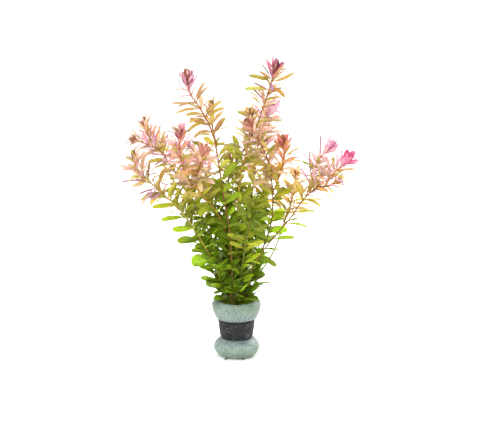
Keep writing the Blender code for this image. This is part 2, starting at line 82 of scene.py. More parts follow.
def squareTo(along, direction):
    # the direction, tipped over so that it is square to the other one
    return (direction - along * direction.dot(along)).normalized()


def eitherWay(rng, most):
    return rng.uniform(-most, most)


def lumps(spot, sizes, height, fineShare):
    # coarse lumps with finer ones on them
    coarse, fine = sizes
    return noise.noise(spot / coarse) * height + noise.noise(spot / fine) * height * fineShare


def meshFrom(name, bm):
    mesh = bpy.data.meshes.new(name)
    bm.to_mesh(mesh)
    bm.free()
    return mesh


def addObject(name, data):
    thing = bpy.data.objects.new(name, data)
    bpy.context.scene.collection.objects.link(thing)
    return thing


def makePiece(name, bm, materials, node=None):
    # turns a model in millimetres into a piece that rides on the bunch and stands for a node
    bmesh.ops.scale(bm, vec=(mm, mm, mm), verts=bm.verts)
    mesh = meshFrom(name, bm)
    mesh.shade_smooth()
    for material in materials:
        mesh.materials.append(material)
    piece = addObject(name, mesh)
    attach(piece, "root")
    if node:
        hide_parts(node)
    return piece


# Camera, floor and light

viewSetup = dict(lens=121.7, elevation=12.0, distance=1200.0, aim=(2.6, 0.0, 110.6))
lightSetup = dict(
    sky=1.5, aimHeight=110.0,
    key=dict(spot=(-420, -520, 620), size=500, power=3.2),
    back=dict(spot=(260, 560, 520), size=520, power=9.0),
)
floorSetup = dict(size=6000.0, tone=(250, 250, 249), roughness=0.8)


def makeCamera():
    tilt = math.radians(viewSetup["elevation"])
    camera = addObject("camera", bpy.data.cameras.new("camera"))
    camera.data.lens = viewSetup["lens"]
    back = Vector((0.0, -math.cos(tilt), math.sin(tilt)))
    camera.location = (Vector(viewSetup["aim"]) + back * viewSetup["distance"]) * mm
    camera.rotation_euler = (math.pi / 2 - tilt, 0.0, 0.0)
    bpy.context.scene.camera = camera


def makeLight(name, spot, size, power):
    light = bpy.data.lights.new(name, "AREA")
    light.shape = "DISK"
    light.size = size * mm
    light.energy = power
    lamp = addObject(name, light)
    lamp.location = Vector(spot) * mm
    toObject = Vector((0.0, 0.0, lightSetup["aimHeight"] * mm)) - lamp.location
    lamp.rotation_euler = toObject.to_track_quat("-Z", "Y").to_euler()


def makeStudio():
    scene = bpy.context.scene
    scene.view_settings.view_transform = "Standard"
    world = bpy.data.worlds.new("softRoom")
    world.use_nodes = True
    sky = world.node_tree.nodes["Background"]
    sky.inputs["Color"].default_value = (1.0, 1.0, 1.0, 1.0)
    sky.inputs["Strength"].default_value = lightSetup["sky"]
    scene.world = world
    makeLight("keyLight", **lightSetup["key"])
    makeLight("backLight", **lightSetup["back"])
    bm = bmesh.new()
    bmesh.ops.create_grid(bm, x_segments=1, y_segments=1, size=floorSetup["size"] / 2 * mm)
    floor = addObject("floor", meshFrom("floor", bm))
    material = bpy.data.materials.new("paleFloor")
    material.use_nodes = True
    surface = material.node_tree.nodes["Principled BSDF"]
    surface.inputs["Base Color"].default_value = linear(floorSetup["tone"])
    surface.inputs["Roughness"].default_value = floorSetup["roughness"]
    floor.data.materials.append(material)


# Finishes

class Finish:
    # a material, with short ways to build its nodes

    def __init__(self, name):
        self.material = bpy.data.materials.new(name)
        self.material.use_nodes = True
        self.tree = self.material.node_tree
        self.surface = self.tree.nodes["Principled BSDF"]
        self.coords = self.add("TexCoord", {})["Object"]

    def plug(self, node, sockets):
        # sets each input to a plain value, or links another node's output to it
        for name, value in sockets.items():
            if isinstance(value, bpy.types.NodeSocket):
                self.tree.links.new(value, node.inputs[name])
            else:
                node.inputs[name].default_value = value

    def add(self, kind, sockets, **settings):
        node = self.tree.nodes.new("ShaderNode" + kind)
        for name, value in settings.items():
            setattr(node, name, value)
        self.plug(node, sockets)
        return node.outputs

    def calc(self, operation, *values):
        return self.add("Math", dict(enumerate(values)), operation=operation)[0]

    def times(self, first, second):
        return self.calc("MULTIPLY", first, second)

    def spread(self, value, low, high, toLow=0.0, toHigh=1.0):
        # eases from toLow to toHigh as the value goes from low to high
        sockets = {"Value": value, "From Min": low, "From Max": high, "To Min": toLow, "To Max": toHigh}
        return self.add("MapRange", sockets, interpolation_type="SMOOTHSTEP")["Result"]

    def mix(self, share, first, second, way="MIX"):
        return self.add("Mix", {0: share, 6: first, 7: second}, data_type="RGBA", blend_type=way)[2]

    def grain(self, scale, detail=2.0):
        return self.add("TexNoise", dict(Vector=self.coords, Scale=scale, Detail=detail))["Fac"]

    def cells(self, scale):
        return self.add("TexVoronoi", dict(Vector=self.coords, Scale=scale))["Distance"]

    def read(self, name, output):
        return self.add("Attribute", {}, attribute_name=name)[output]

    def relief(self, height, depth):
        return self.add("Bump", dict(Strength=1.0, Distance=depth * mm, Height=height))["Normal"]

    def glowThrough(self, share, **sockets):
        # mixes light that comes through from behind into the surface
        through = self.add("BsdfTranslucent", sockets)[0]
        both = self.add("MixShader", {0: share, 1: self.surface.outputs[0], 2: through})[0]
        self.plug(self.tree.nodes["Material Output"], dict(Surface=both))


# the scales are those of the texture nodes: the higher, the finer
leafLook = dict(
    roughness=0.4, specular=0.28, through=0.58, relief=0.12,
    mottleScale=420.0, speckScale=230.0, speckAreaScale=60.0, veins=26.0, veinSlant=0.22, veinShare=0.15,
    ribTone=(0.95, 0.93, 0.62, 1.0), ribShare=0.5, rim=(0.96, 0.8, 0.64, 1.0), rimShare=0.7,
    hurtTone=(0.11, 0.06, 0.025, 1.0), hurtShare=0.8,
)


def leafFinish():
    look = Finish("leafFinish")
    tone = look.read("tone", "Color")
    blade = look.add("SeparateXYZ", {0: look.read("blade", "Vector")})
    across = look.calc("ABSOLUTE", blade["X"])
    along = blade["Y"]
    # soft patches of lighter and darker green
    patches = look.spread(look.grain(leafLook["mottleScale"], 3.0), 0.3, 0.7, 0.9, 1.1)
    tone = look.mix(1.0, tone, patches, "MULTIPLY")
    # pale midrib, and side veins that run out of it towards the tip
    rib = look.times(look.spread(across, 0.03, 0.13, 1.0, 0.0), look.spread(along, 0.7, 1.0, 1.0, 0.1))
    slant = look.calc("SUBTRACT", along, look.times(across, leafLook["veinSlant"]))
    wave = look.calc("SINE", look.times(slant, leafLook["veins"] * math.tau / 2))
    lines = look.calc("MAXIMUM", rib, look.times(look.spread(wave, 0.75, 1.0), leafLook["veinShare"]))
    pale = look.mix(0.4, tone, leafLook["ribTone"])
    tone = look.mix(look.times(lines, leafLook["ribShare"]), tone, pale)
    # rims dried to orange-brown
    dry = look.mix(1.0, tone, leafLook["rim"], "MULTIPLY")
    tone = look.mix(look.spread(across, 0.75, 1.0, 0.0, leafLook["rimShare"]), tone, dry)
    # brown specks and nibbled spots on a few blades
    spots = look.spread(look.cells(leafLook["speckScale"]), 0.05, 0.12, 1.0, 0.0)
    chosen = look.spread(look.grain(leafLook["speckAreaScale"]), 0.6, 0.66)
    hurt = look.calc("MAXIMUM", look.times(spots, chosen), look.read("wear", "Fac"))
    tone = look.mix(look.times(hurt, leafLook["hurtShare"]), tone, leafLook["hurtTone"])
    height = look.calc("ADD", look.times(lines, -0.6), look.times(patches, 0.5))
    normal = look.relief(height, leafLook["relief"])
    look.plug(look.surface, {
        "Base Color": tone, "Roughness": leafLook["roughness"], "Specular IOR Level": leafLook["specular"],
        "Normal": normal,
    })
    look.glowThrough(leafLook["through"], Color=tone, Normal=normal)
    return look.material


stemLook = dict(
    roughness=0.32, specular=0.5, through=0.22, relief=0.1, streakScale=900.0,
    blushScale=130.0, blushShare=0.28, blush=(0.32, 0.13, 0.04, 1.0),
)


def stemFinish():
    look = Finish("stemFinish")
    streaks = look.spread(look.grain(stemLook["streakScale"], 3.0), 0.3, 0.75, 0.78, 1.15)
    tone = look.mix(1.0, look.read("tone", "Color"), streaks, "MULTIPLY")
    blush = look.times(look.spread(look.grain(stemLook["blushScale"]), 0.52, 0.7), stemLook["blushShare"])
    tone = look.mix(blush, tone, stemLook["blush"])
    look.plug(look.surface, {
        "Base Color": tone, "Roughness": stemLook["roughness"], "Specular IOR Level": stemLook["specular"],
        "Normal": look.relief(streaks, stemLook["relief"]),
    })
    look.glowThrough(stemLook["through"], Color=tone)
    return look.material


# each band is two heights and a tone's share at each: green near the top of the roll and at its foot, and
# painted shade, bluish, close over and under the lead, where the strip shades the foam
foamLook = dict(
    wall=(206, 220, 213), shadedPit=(92, 128, 106), shade=(102, 116, 140), moss=(106, 140, 98), through=0.5,
    specular=0.6, sheen=0.9, sheenRoughness=0.4, relief=0.16,
    fineScale=2600.0, cloudScale=90.0, paintedGlintScale=1500.0, paintedGlintAreaScale=420.0, glintScale=2200.0,
    bands=dict(
        top=(33.0, 42.0, 0.0, 0.55), low=(3.0, 10.0, 0.6, 0.0),
        overLead=(28.5, 35.0, 0.55, 0.0), aboveLead=(20.0, 28.0, 0.0, 1.0),
        underLead=(9.5, 14.0, 0.0, 0.7), belowLead=(15.0, 16.0, 1.0, 0.0),
    ),
)


def foamFinish():
    look = Finish("foamFinish")
    fine = look.cells(foamLook["fineScale"])
    # painted shade in the pores: their colour is darker and greener than that of the cell walls
    poreShade = look.calc("ADD", look.times(look.read("pore", "Fac"), 0.7), look.times(fine, 0.5))
    tone = look.mix(look.spread(poreShade, 0.15, 0.95), linear(foamLook["wall"]), linear(foamLook["shadedPit"]))
    height = look.add("SeparateXYZ", {0: look.coords})["Z"]
    band = {
        name: look.spread(height, low * mm, high * mm, *shares)
        for name, (low, high, *shares) in foamLook["bands"].items()
    }
    # painted shade: the foam is tinted bluish grey just over and under the lead, where the strip shades it
    over = look.times(band["overLead"], band["aboveLead"])
    under = look.times(band["underLead"], band["belowLead"])
    cloud = look.spread(look.grain(foamLook["cloudScale"]), 0.3, 0.7, 0.4, 1.2)
    moss = look.times(look.calc("ADD", band["top"], band["low"]), cloud)
    tone = look.mix(moss, tone, linear(foamLook["moss"]))
    tone = look.mix(look.times(look.calc("ADD", over, under), cloud), tone, linear(foamLook["shade"]))
    # painted highlights: white glints painted into the colour of a few of the cell walls
    paintedGlint = look.spread(look.cells(foamLook["paintedGlintScale"]), 0.12, 0.2, 1.0, 0.0)
    paintedGlint = look.times(paintedGlint, look.spread(look.grain(foamLook["paintedGlintAreaScale"]), 0.5, 0.6))
    tone = look.mix(paintedGlint, tone, (1.0, 1.0, 1.0, 1.0))
    glint = look.spread(look.grain(foamLook["glintScale"], 1.0), 0.45, 0.62, 0.16, 0.62)
    bumps = look.calc("ADD", look.times(fine, -0.8), glint)
    look.plug(look.surface, {
        "Base Color": tone, "Roughness": glint, "Specular IOR Level": foamLook["specular"],
        "Sheen Weight": foamLook["sheen"], "Sheen Roughness": foamLook["sheenRoughness"],
        "Normal": look.relief(bumps, foamLook["relief"]),
    })
    look.glowThrough(foamLook["through"], Color=tone)
    return look.material


leadLook = dict(
    dark=(30, 30, 33), pale=(41, 41, 43), speck=(0.6, 0.62, 0.6, 1.0), speckShare=0.75,
    roughness=(0.72, 0.5), metallic=0.25, specular=0.35, relief=0.22,
    wornScale=260.0, speckScale=620.0, speckAreaScale=330.0, scuffScale=900.0,
)


def leadFinish():
    look = Finish("leadFinish")
    worn = look.spread(look.grain(leadLook["wornScale"], 4.0), 0.35, 0.75)
    tone = look.mix(worn, linear(leadLook["dark"]), linear(leadLook["pale"]))
    few = look.spread(look.grain(leadLook["speckAreaScale"]), 0.5, 0.58)
    specks = look.times(look.spread(look.cells(leadLook["speckScale"]), 0.1, 0.2, 1.0, 0.0), few)
    tone = look.mix(look.times(specks, leadLook["speckShare"]), tone, leadLook["speck"])
    scuffs = look.calc("ADD", look.grain(leadLook["scuffScale"], 4.0), look.times(worn, 0.6))
    look.plug(look.surface, {
        "Base Color": tone, "Roughness": look.spread(worn, 0.0, 1.0, *leadLook["roughness"]),
        "Metallic": leadLook["metallic"], "Specular IOR Level": leadLook["specular"],
        "Normal": look.relief(scuffs, leadLook["relief"]),
    })
    return look.material


rootLook = dict(pale=(0.42, 0.36, 0.26, 1.0), dark=(0.2, 0.16, 0.13, 1.0), roughness=0.6, grainScale=160.0)


def rootFinish():
    look = Finish("rootFinish")
    tone = look.mix(look.grain(rootLook["grainScale"]), rootLook["pale"], rootLook["dark"])
    look.plug(look.surface, {"Base Color": tone, "Roughness": rootLook["roughness"]})
    return look.material


# How the shoots grow, by the routes and rules of the solids. The tables go by the distance below the bud, and
# each of the tries is a turn, a share of the size and a change of tilt.

growth = dict(
    innerRing=2.5, outerRing=4.9, straight=26.0, curvePoints=13,
    halfFoot=0.75, halfTop=0.46, taper=200.0, branchFoot=0.55, bare=3.5, budLength=7.0,
    branchSeed=100, drawingSeed=500, rollDone=0.3, standOff=0.4, cornerShare=1.3, lowCurl=16.0,
    searchStep=0.25, found=0.02,
    spacing=((0, 3.4), (10, 4.9), (25, 7.0), (60, 8.6), (110, 10.0)),
    length=((0, 11.0), (8, 14.5), (22, 17.0), (55, 17.5), (110, 16.0), (160, 13.5)),
    width=((0, 2.2), (8, 3.2), (25, 4.3), (55, 5.0), (80, 6.6), (105, 8.4), (150, 9.0)),
    pitch=((0, 32), (6, 46), (16, 58), (60, 58), (100, 48), (150, 32)),
    roll=((0, 10), (10, 25), (30, 40), (110, 50)),
    curl=((0, 18), (15, 28), (60, 26), (120, 16)),
    turnStray=16.0, pitchStray=13.0, lengthStray=(0.88, 1.08), widthStray=(0.88, 1.1), curlStray=(0.7, 1.4),
    spacingStray=(0.92, 1.08),
    tries=(
        (0, 1.0, 0), (14, 1.0, 0), (-14, 1.0, 0), (28, 0.95, 0), (-28, 0.95, 0), (0, 0.85, -12),
        (0, 0.85, 10), (20, 0.75, -10), (-20, 0.75, -10), (0, 0.65, 0), (36, 0.7, 8), (-36, 0.7, 8),
        (0, 0.5, 0),
    ),
)

# the broad low leaves of each stem: height, heading, length, width, tilt, turn about the midrib, and the curl
# of a leaf that droops more than the others
lowLeaves = dict(
    far_left=(
        (52, 182, 10.5, 6.5, 48, 40), (47, -30, 11.5, 9.5, 46, -40), (75, 186, 15.0, 14.0, 62, 78),
        (91, 180, 17.0, 8.0, 56, -36), (99.5, 178, 15.5, 6.6, 54, -38), (108.5, 181, 18.0, 5.6, 52, -30),
        (117, 178, 17.0, 5.2, 42, -34), (127, 184, 12.5, 4.4, 46, -28),
    ),
    left=((45.5, 196, 12.5, 8.5, 30, 35), (56, 120, 13.0, 8.0, 40, 20)),
    tall_left=((49, 262, 11.0, 8.5, 22, 12), (62, 230, 14.0, 8.5, 40, -30)),
    front=((50, 300, 13.0, 9.0, 30, 25),),
    far_right=(
        (47, 10, 12.5, 6.5, 24, 35), (77, -5, 15.0, 5.4, 60, 40, 45), (91, 0, 16.0, 4.4, 34, 34, 26),
        (103, 4, 16.0, 3.4, 42, 24, 40), (112, -2, 15.0, 3.0, 46, 24, 18),
    ),
    rear_mid=((48, 70, 13.0, 9.0, 34, 20),),
)

# what a shoot has where its own row doesn't say otherwise: the form and size of its bud, the leaf pairs that
# are pieces of their own, how low its leaves go, how slim they are, how much the colours of its leaves stray
# and pale, what is added between the solid's leaves, and how far below the bud the leaves become spoon-shaped
usual = dict(
    bud="egg", budSize=1.0, budSink=0.0, loose=0, lowest=44.0, slim=1.0, stray=1.0, pale=0.3,
    between=1.8, tufts=0.3, threads=0, neck=9, spoonFrom=55.0,
)
inner = growth["innerRing"]
outer = growth["outerRing"]
# each stem's ring and angle in the foam's bore, the turn of its leaf pairs, its colours and its route
shoots = dict(
    far_left=dict(
        ring=outer, place=202.5, turn=22, leaves="russet", stem="yellow", threads=18, slim=0.85, between=2.2,
        route=(
            (-9, -3, 44), (-14, -6, 66), (-23, -9, 85), (-38, -12, 110), (-56, -15, 129), (-69, -17, 142),
            (-74, -18, 150), (-74, -18, 160),
        ),
    ),
    left=dict(
        ring=outer, place=157.5, turn=38, loose=1, leaves="russet", stem="yellow", threads=20, slim=0.9,
        between=2.4,
        route=(
            (-6, 3, 43), (-9, 3, 59), (-19, 4, 90), (-28, 5, 111), (-38, 7, 125), (-47, 9, 141),
            (-59, 11, 157), (-66, 12, 166), (-69, 13, 179),
        ),
    ),
    tall_left=dict(
        ring=outer, place=247.5, turn=40, loose=1, leaves="rose", stem="brown", bud="column", budSize=1.22,
        pale=0.0, stray=0.35, between=0.25, slim=0.78, tufts=0.0,
        route=(
            (-2, -6, 46), (-3, -8, 67), (-5, -10, 97), (-9, -13, 121), (-13, -16, 150), (-17, -18, 171),
            (-27, -21, 192), (-33, -22, 201), (-35, -23, 218),
        ),
    ),
    tall_right=dict(
        ring=0, place=0, turn=50, leaves="plum", stem="brown", bud="fan", budSize=1.2, budSink=2.5,
        pale=0.0, stray=0.5, between=0.6, slim=0.84, tufts=0.0,
        route=(
            (-2, 4, 42), (-6, 7, 79), (-7, 8, 117), (-4, 7, 140), (5, 5, 155), (14, 3, 172),
            (20, 2, 189), (26, 0, 208), (30, 0, 221),
        ),
    ),
    centre=dict(
        ring=inner, place=252, turn=35, loose=1, leaves="olive", stem="yellow", stray=0.5, between=0.7,
        tufts=0.15,
        route=(
            (2, 0, 44), (1, -1, 81), (1, -2, 115), (4, -4, 143), (8, -6, 160), (10, -7, 174), (11, -8, 189),
        ),
    ),
    rear_right=dict(
        ring=inner, place=36, turn=60, loose=2, leaves="blush", stem="brown", bud="fan", budSize=1.35,
        budSink=6.0, threads=18,
        route=((6, 6, 42), (8, 14, 85), (12, 21, 122), (17, 27, 159), (24, 30, 179), (30, 31, 190)),
    ),
    right=dict(
        ring=inner, place=324, turn=48, loose=1, leaves="salmon", stem="brown", bud="goblet", budSize=0.95,
        between=0.6, tufts=0.15, threads=6,
        route=(
            (5, 2, 43), (12, 5, 63), (19, 7, 79), (26, 8, 101), (27, 6, 114), (26, 0, 132),
            (23, -7, 150), (16, -13, 166), (8, -16, 180),
        ),
    ),
    far_right=dict(
        ring=outer, place=337.5, turn=45, lowest=118, leaves="amber", stem="brown", neck=4, between=2.2,
        slim=0.85,
        route=(
            (8, -3, 45), (12, -6, 70), (24, -8, 88), (40, -10, 108), (51, -12, 124), (60, -13, 131),
            (70, -13, 133), (77, -13, 139),
        ),
    ),
    low_right=dict(
        ring=outer, place=22.5, turn=30, lowest=98, leaves="amber", stem="yellow", neck=4, between=2.4,
        slim=0.85,
        route=((9, 2, 43), (16, 8, 58), (28, 13, 77), (36, 16, 99), (42, 17, 117), (45, 17, 140)),
    ),
    centre_left=dict(
        ring=inner, place=180, turn=55, loose=1, leaves="wine", stem="orange", threads=14, between=2.0,
        route=(
            (-4, 0, 44), (-4, 0, 72), (-6, -2, 89), (-17, -8, 115), (-29, -14, 130), (-38, -18, 145),
            (-41, -21, 162), (-40, -23, 178),
        ),
    ),
    rear_left=dict(
        ring=outer, place=112.5, turn=25, loose=1, leaves="blush", stem="brown", threads=6,
        route=((-5, 7, 42), (-9, 15, 74), (-16, 23, 102), (-22, 29, 128), (-29, 33, 145), (-38, 35, 157)),
    ),
    rear=dict(
        ring=inner, place=108, turn=45, loose=1, leaves="olive", stem="green",
        route=((1, 9, 42), (1, 18, 73), (-2, 27, 101), (-3, 34, 127), (-6, 38, 148)),
    ),
    rear_mid=dict(
        ring=outer, place=67.5, turn=65, loose=2, leaves="olive", stem="green",
        route=((4, 9, 42), (8, 17, 73), (15, 27, 98), (20, 34, 119), (25, 39, 137)),
    ),
    front=dict(
        ring=outer, place=292.5, turn=40, loose=2, leaves="fern", stem="moss", stray=0.0, pale=0.0,
        between=0.4, tufts=0.0, spoonFrom=14.0,
        route=((3, -6, 46), (4, -12, 70), (7, -22, 92), (10, -33, 112), (12, -43, 128)),
    ),
)
# side branches, whose routes start at a fork of their stem
branches = dict(
    left_fork=dict(
        turn=0, leaves="russet", stem="yellow", threads=12, slim=0.85, between=2.0,
        route=((-52, 10, 150), (-58, 4, 156), (-67, 1, 161), (-79, 0, 165)),
    ),
    tall_left_fork=dict(
        turn=20, leaves="peach", stem="brown", between=0.0, slim=0.8, tufts=0.0,
        route=((-14, -17, 162), (-17, -11, 173), (-18, -8, 183), (-18, -7, 194)),
    ),
    right_fork=dict(
        turn=10, leaves="coral", stem="orange", bud="goblet", budSize=1.15, budSink=1.5,
        route=((27, 3, 124), (32, 4, 137), (35, 4, 149), (34, 3, 165)),
    ),
    far_right_fork=dict(
        turn=0, leaves="blush", stem="orange", bud="fan", budSize=1.15, threads=18, between=2.8, slim=0.8,
        route=((51, -12, 124), (54, -8, 133), (57, -5, 140), (62, -3, 152), (70, -2, 160)),
    ),
    far_right_twig=dict(
        turn=30, leaves="magenta", stem="orange", bud="goblet", budSize=1.1, threads=12, between=2.2,
        slim=0.85,
        route=((65, -13, 132), (69, -17, 140), (75, -19, 147), (82, -20, 155)),
    ),
    centre_left_fork=dict(
        turn=15, leaves="salmon", stem="orange", bud="fan", budSize=0.8, threads=8,
        route=((-29, -14, 130), (-27, -19, 141), (-26, -23, 151), (-22, -26, 164)),
    ),
)


class Route:
    # a smooth curve through points, with two side directions carried along it without twist

    def __init__(self, points, turn):
        knots = [Vector(p) for p in points]
        slopes = self.slopes(knots)
        self.spots = []
        for a, b, slopeA, slopeB in zip(knots, knots[1:], slopes, slopes[1:]):
            third = (b - a).length / 3
            curve = interpolate_bezier(a, a + slopeA * third, b - slopeB * third, b, growth["curvePoints"])
            self.spots += curve[:-1]
        self.spots.append(knots[-1])
        self.reach = [0.0]
        for a, b in zip(self.spots, self.spots[1:]):
            self.reach.append(self.reach[-1] + (b - a).length)
        self.length = self.reach[-1]
        self.sides = []
        side = level(turn)
        for i in range(len(self.spots)):
            side = squareTo(self.direction(i), side)
            self.sides.append(side)

    def slopes(self, knots):
        steps = [b - a for a, b in zip(knots, knots[1:])]
        result = [steps[0].normalized()]
        for before, after in zip(steps, steps[1:]):
            weighted = before.normalized() * after.length + after.normalized() * before.length
            result.append(weighted.normalized())
        result.append(steps[-1].normalized())
        return result

    def direction(self, i):
        first = self.spots[max(i - 1, 0)]
        last = self.spots[min(i + 1, len(self.spots) - 1)]
        return (last - first).normalized()

    def at(self, distance):
        # position, direction and the two side directions at a distance along the curve
        i = 0
        while i < len(self.spots) - 2 and self.reach[i + 1] < distance:
            i += 1
        share = (distance - self.reach[i]) / (self.reach[i + 1] - self.reach[i])
        spot = self.spots[i].lerp(self.spots[i + 1], share)
        along = self.direction(i).lerp(self.direction(i + 1), share).normalized()
        side = squareTo(along, self.sides[i].lerp(self.sides[i + 1], share))
        return spot, along, side, along.cross(side)

    def upTo(self, height, start=0.0, step=growth["searchStep"]):
        # the distance along the curve where it reaches a height above the floor
        while self.at(start)[0].z < height:
            start += step
        return start


def bladeFrame(leaf, u):
    # middle of a blade at a place along its midrib, with the directions across it and out of its upper side
    start = math.radians(leaf["pitch"])
    bend = math.radians(leaf["curl"])
    angle = start + bend * u
    out = leaf["out"]
    up = leaf["up"]
    curve = out * (math.cos(start) - math.cos(angle)) + up * (math.sin(angle) - math.sin(start))
    middle = leaf["base"] + curve * (leaf["length"] / bend)
    flat = up.cross(out)
    normal = up * math.sin(angle) - out * math.cos(angle)
    roll = math.radians(leaf["roll"]) * min(1.0, u / growth["rollDone"])
    across = flat * math.cos(roll) + normal * math.sin(roll)
    upper = normal * math.cos(roll) - flat * math.sin(roll)
    return middle, across, upper


def lowLeaf(route, halfAt, height, heading, length, width, pitch, roll, curl=growth["lowCurl"]):
    place = route.upTo(height)
    spot, along, side, other = route.at(place)
    return dict(
        spot=spot, up=along, axis=squareTo(along, level(heading)), place=place, belowBud=route.length - place,
        stem=halfAt(place), turn=0.0, roll=roll, length=length, width=width, pitch=pitch, curl=curl,
    )


def planShoot(name, own, seed):
    # a stem's route and thickness, and every leaf that its rules would give it
    spec = dict(usual, **own)
    if "ring" in spec:
        angle = math.radians(spec["place"])
        x = spec["ring"] * math.cos(angle)
        y = spec["ring"] * math.sin(angle)
        bore = ((x, y, 0.0), (x, y, growth["straight"] / 2), (x, y, growth["straight"]))
        route = Route((*bore, *spec["route"]), spec["turn"])
        foot = growth["halfFoot"]
        taper = growth["taper"]
    else:
        route = Route(spec["route"], spec["turn"])
        foot = growth["branchFoot"]
        taper = route.length

    def halfAt(distance):
        share = min(1.0, (route.length - distance) / taper)
        return growth["halfTop"] + (foot - growth["halfTop"]) * share

    rng = random.Random(seed)
    pairs = []
    place = route.length - growth["budLength"]
    belowBud = 0.0
    while True:
        spot, along, side, other = route.at(place)
        if place < growth["bare"] or spot.z < spec["lowest"]:
            break
        axis = side if len(pairs) % 2 == 0 else other
        pair = []
        for sign in (1, -1):
            pair.append(dict(
                spot=spot, up=along, axis=axis * sign, place=place, belowBud=belowBud,
                stem=halfAt(place), turn=eitherWay(rng, growth["turnStray"]),
                roll=blend(growth["roll"], belowBud) * eitherWay(rng, 1.0),
                length=blend(growth["length"], belowBud) * rng.uniform(*growth["lengthStray"]),
                width=blend(growth["width"], belowBud) * rng.uniform(*growth["widthStray"]),
                pitch=blend(growth["pitch"], belowBud) + eitherWay(rng, growth["pitchStray"]),
                curl=blend(growth["curl"], belowBud) * rng.uniform(*growth["curlStray"]),
            ))
        pairs.append(pair)
        step = blend(growth["spacing"], belowBud) * rng.uniform(*growth["spacingStray"])
        place -= step
        belowBud += step
    count = len(pairs) - spec["loose"]
    loose = [lowLeaf(route, halfAt, *leaf) for leaf in lowLeaves.get(name, ())]
    loose += [leaf for pair in pairs[count:] for leaf in pair]
    kind = "shoot" if "ring" in spec else "branch"
    return dict(
        spec, name=name, node=f"{kind}_{name}", route=route, halfAt=halfAt, pairs=pairs[:count], loose=loose,
        rng=random.Random(seed + growth["drawingSeed"]),
    )


def leafVariant(plan, attempt, isLoose):
    turn, share, tilt = attempt
    out = turned(plan["axis"], plan["turn"] + turn, plan["up"])
    width = plan["width"] * (1 + share) / 2
    leaf = dict(plan, out=out, length=plan["length"] * share, width=width, pitch=plan["pitch"] + tilt)
    if isLoose:
        leaf["base"] = plan["spot"] + out * (plan["stem"] * growth["cornerShare"] + growth["standOff"])
    else:
        leaf["base"] = plan["spot"] + plan["axis"] * plan["stem"]
    return leaf


def packedCorners():
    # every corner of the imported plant, in a tree that finds the nearest one
    corners = [
        (vert.co, name) for name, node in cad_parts.items()
        if name.startswith(("shoot", "branch", "leaf")) for vert in node.data.vertices
    ]
    tree = KDTree(len(corners))
    for i, (co, name) in enumerate(corners):
        tree.insert(co, i)
    tree.balance()
    return tree, [name for co, name in corners]


def grownLeaf(plan, isLoose, corners):
    # the variant of a planned leaf whose tip is in the solids, with the node that it is part of
    tree, names = corners
    for attempt in growth["tries"]:
        leaf = leafVariant(plan, attempt, isLoose)
        tip = bladeFrame(leaf, 1.0)[0]
        spot, index, gap = tree.find(tip * mm)
        if gap < growth["found"] * mm:
            return dict(leaf, node=names[index])
    return None


# Colours

# leaves from the heart of the bud to well below it, and then the tones that all shoots share. A leaf's age is
# its distance below the bud, and low in the bunch more than that.
youngAges = (-6, -1, 6, 18, 38)
youngTones = dict(
    rose=((190, 120, 130), (230, 182, 200), (244, 210, 222), (208, 174, 132), (196, 176, 94)),
    plum=((150, 80, 110), (216, 144, 168), (214, 184, 140), (204, 180, 110), (198, 180, 92)),
    blush=((234, 168, 200), (246, 208, 226), (250, 224, 238), (246, 222, 226), (230, 210, 168)),
    russet=((170, 120, 96), (222, 184, 168), (250, 226, 232), (236, 214, 172), (204, 202, 98)),
    wine=((170, 110, 110), (230, 164, 184), (244, 196, 210), (238, 206, 160), (206, 200, 94)),
    salmon=((206, 146, 134), (240, 206, 196), (250, 222, 214), (232, 202, 176), (212, 190, 120)),
    coral=((170, 90, 90), (236, 160, 156), (244, 190, 162), (242, 206, 148), (228, 204, 112)),
    magenta=((224, 112, 168), (240, 152, 194), (248, 214, 230), (248, 226, 228), (236, 212, 162)),
    amber=((170, 120, 80), (228, 184, 126), (242, 212, 168), (236, 212, 126), (214, 204, 80)),
    peach=((206, 170, 108), (214, 182, 124), (218, 190, 132), (214, 194, 112), (200, 190, 80)),
    olive=((188, 150, 98), (216, 182, 130), (226, 202, 132), (212, 202, 92), (192, 198, 62)),
    fern=((182, 182, 70), (180, 184, 66), (170, 180, 58), (152, 170, 44), (132, 156, 34)),
)
oldTones = ((62, (206, 206, 76)), (95, (180, 202, 56)), (140, (158, 188, 42)), (185, (130, 160, 28)))
leafTones = {name: tuple(zip(youngAges, tones)) + oldTones for name, tones in youngTones.items()}
leafColour = dict(
    ageStray=9.0, lowFrom=150.0, lowShare=0.5, tipYounger=9.0, youngest=2.0, brightest=250.0,
    light=(-0.8, 0.65), lightSpread=((30, 0.06), (90, 0.26)),
    strayTones=((250, 218, 234), (240, 204, 222), (240, 198, 134), (178, 184, 70), (208, 198, 96)),
    strayChance=0.36, strayMuch=(0.55, 0.95), strayLittle=(0.0, 0.35),
    strayByAge=((0, 0.3), (8, 1.0), (55, 0.9), (95, 0.0)),
    paleTone=(252, 240, 226), paleByAge=((0, 0.6), (10, 1.0), (45, 0.8), (80, 0.0)),
)

# stem colours by height
stemTones = dict(
    moss=((20, (98, 104, 32)), (100, (120, 126, 38)), (150, (140, 146, 50))),
    yellow=(
        (20, (104, 122, 34)), (60, (142, 148, 44)), (95, (180, 152, 56)), (130, (212, 180, 80)),
        (165, (204, 146, 90)),
    ),
    brown=(
        (20, (98, 106, 32)), (60, (122, 116, 34)), (95, (134, 100, 30)), (130, (150, 98, 36)),
        (190, (182, 120, 58)),
    ),
    green=((20, (100, 120, 34)), (60, (134, 160, 44)), (110, (164, 178, 66)), (150, (190, 180, 84))),
    orange=((120, (212, 164, 74)), (150, (220, 150, 80)), (190, (212, 124, 96))),
)


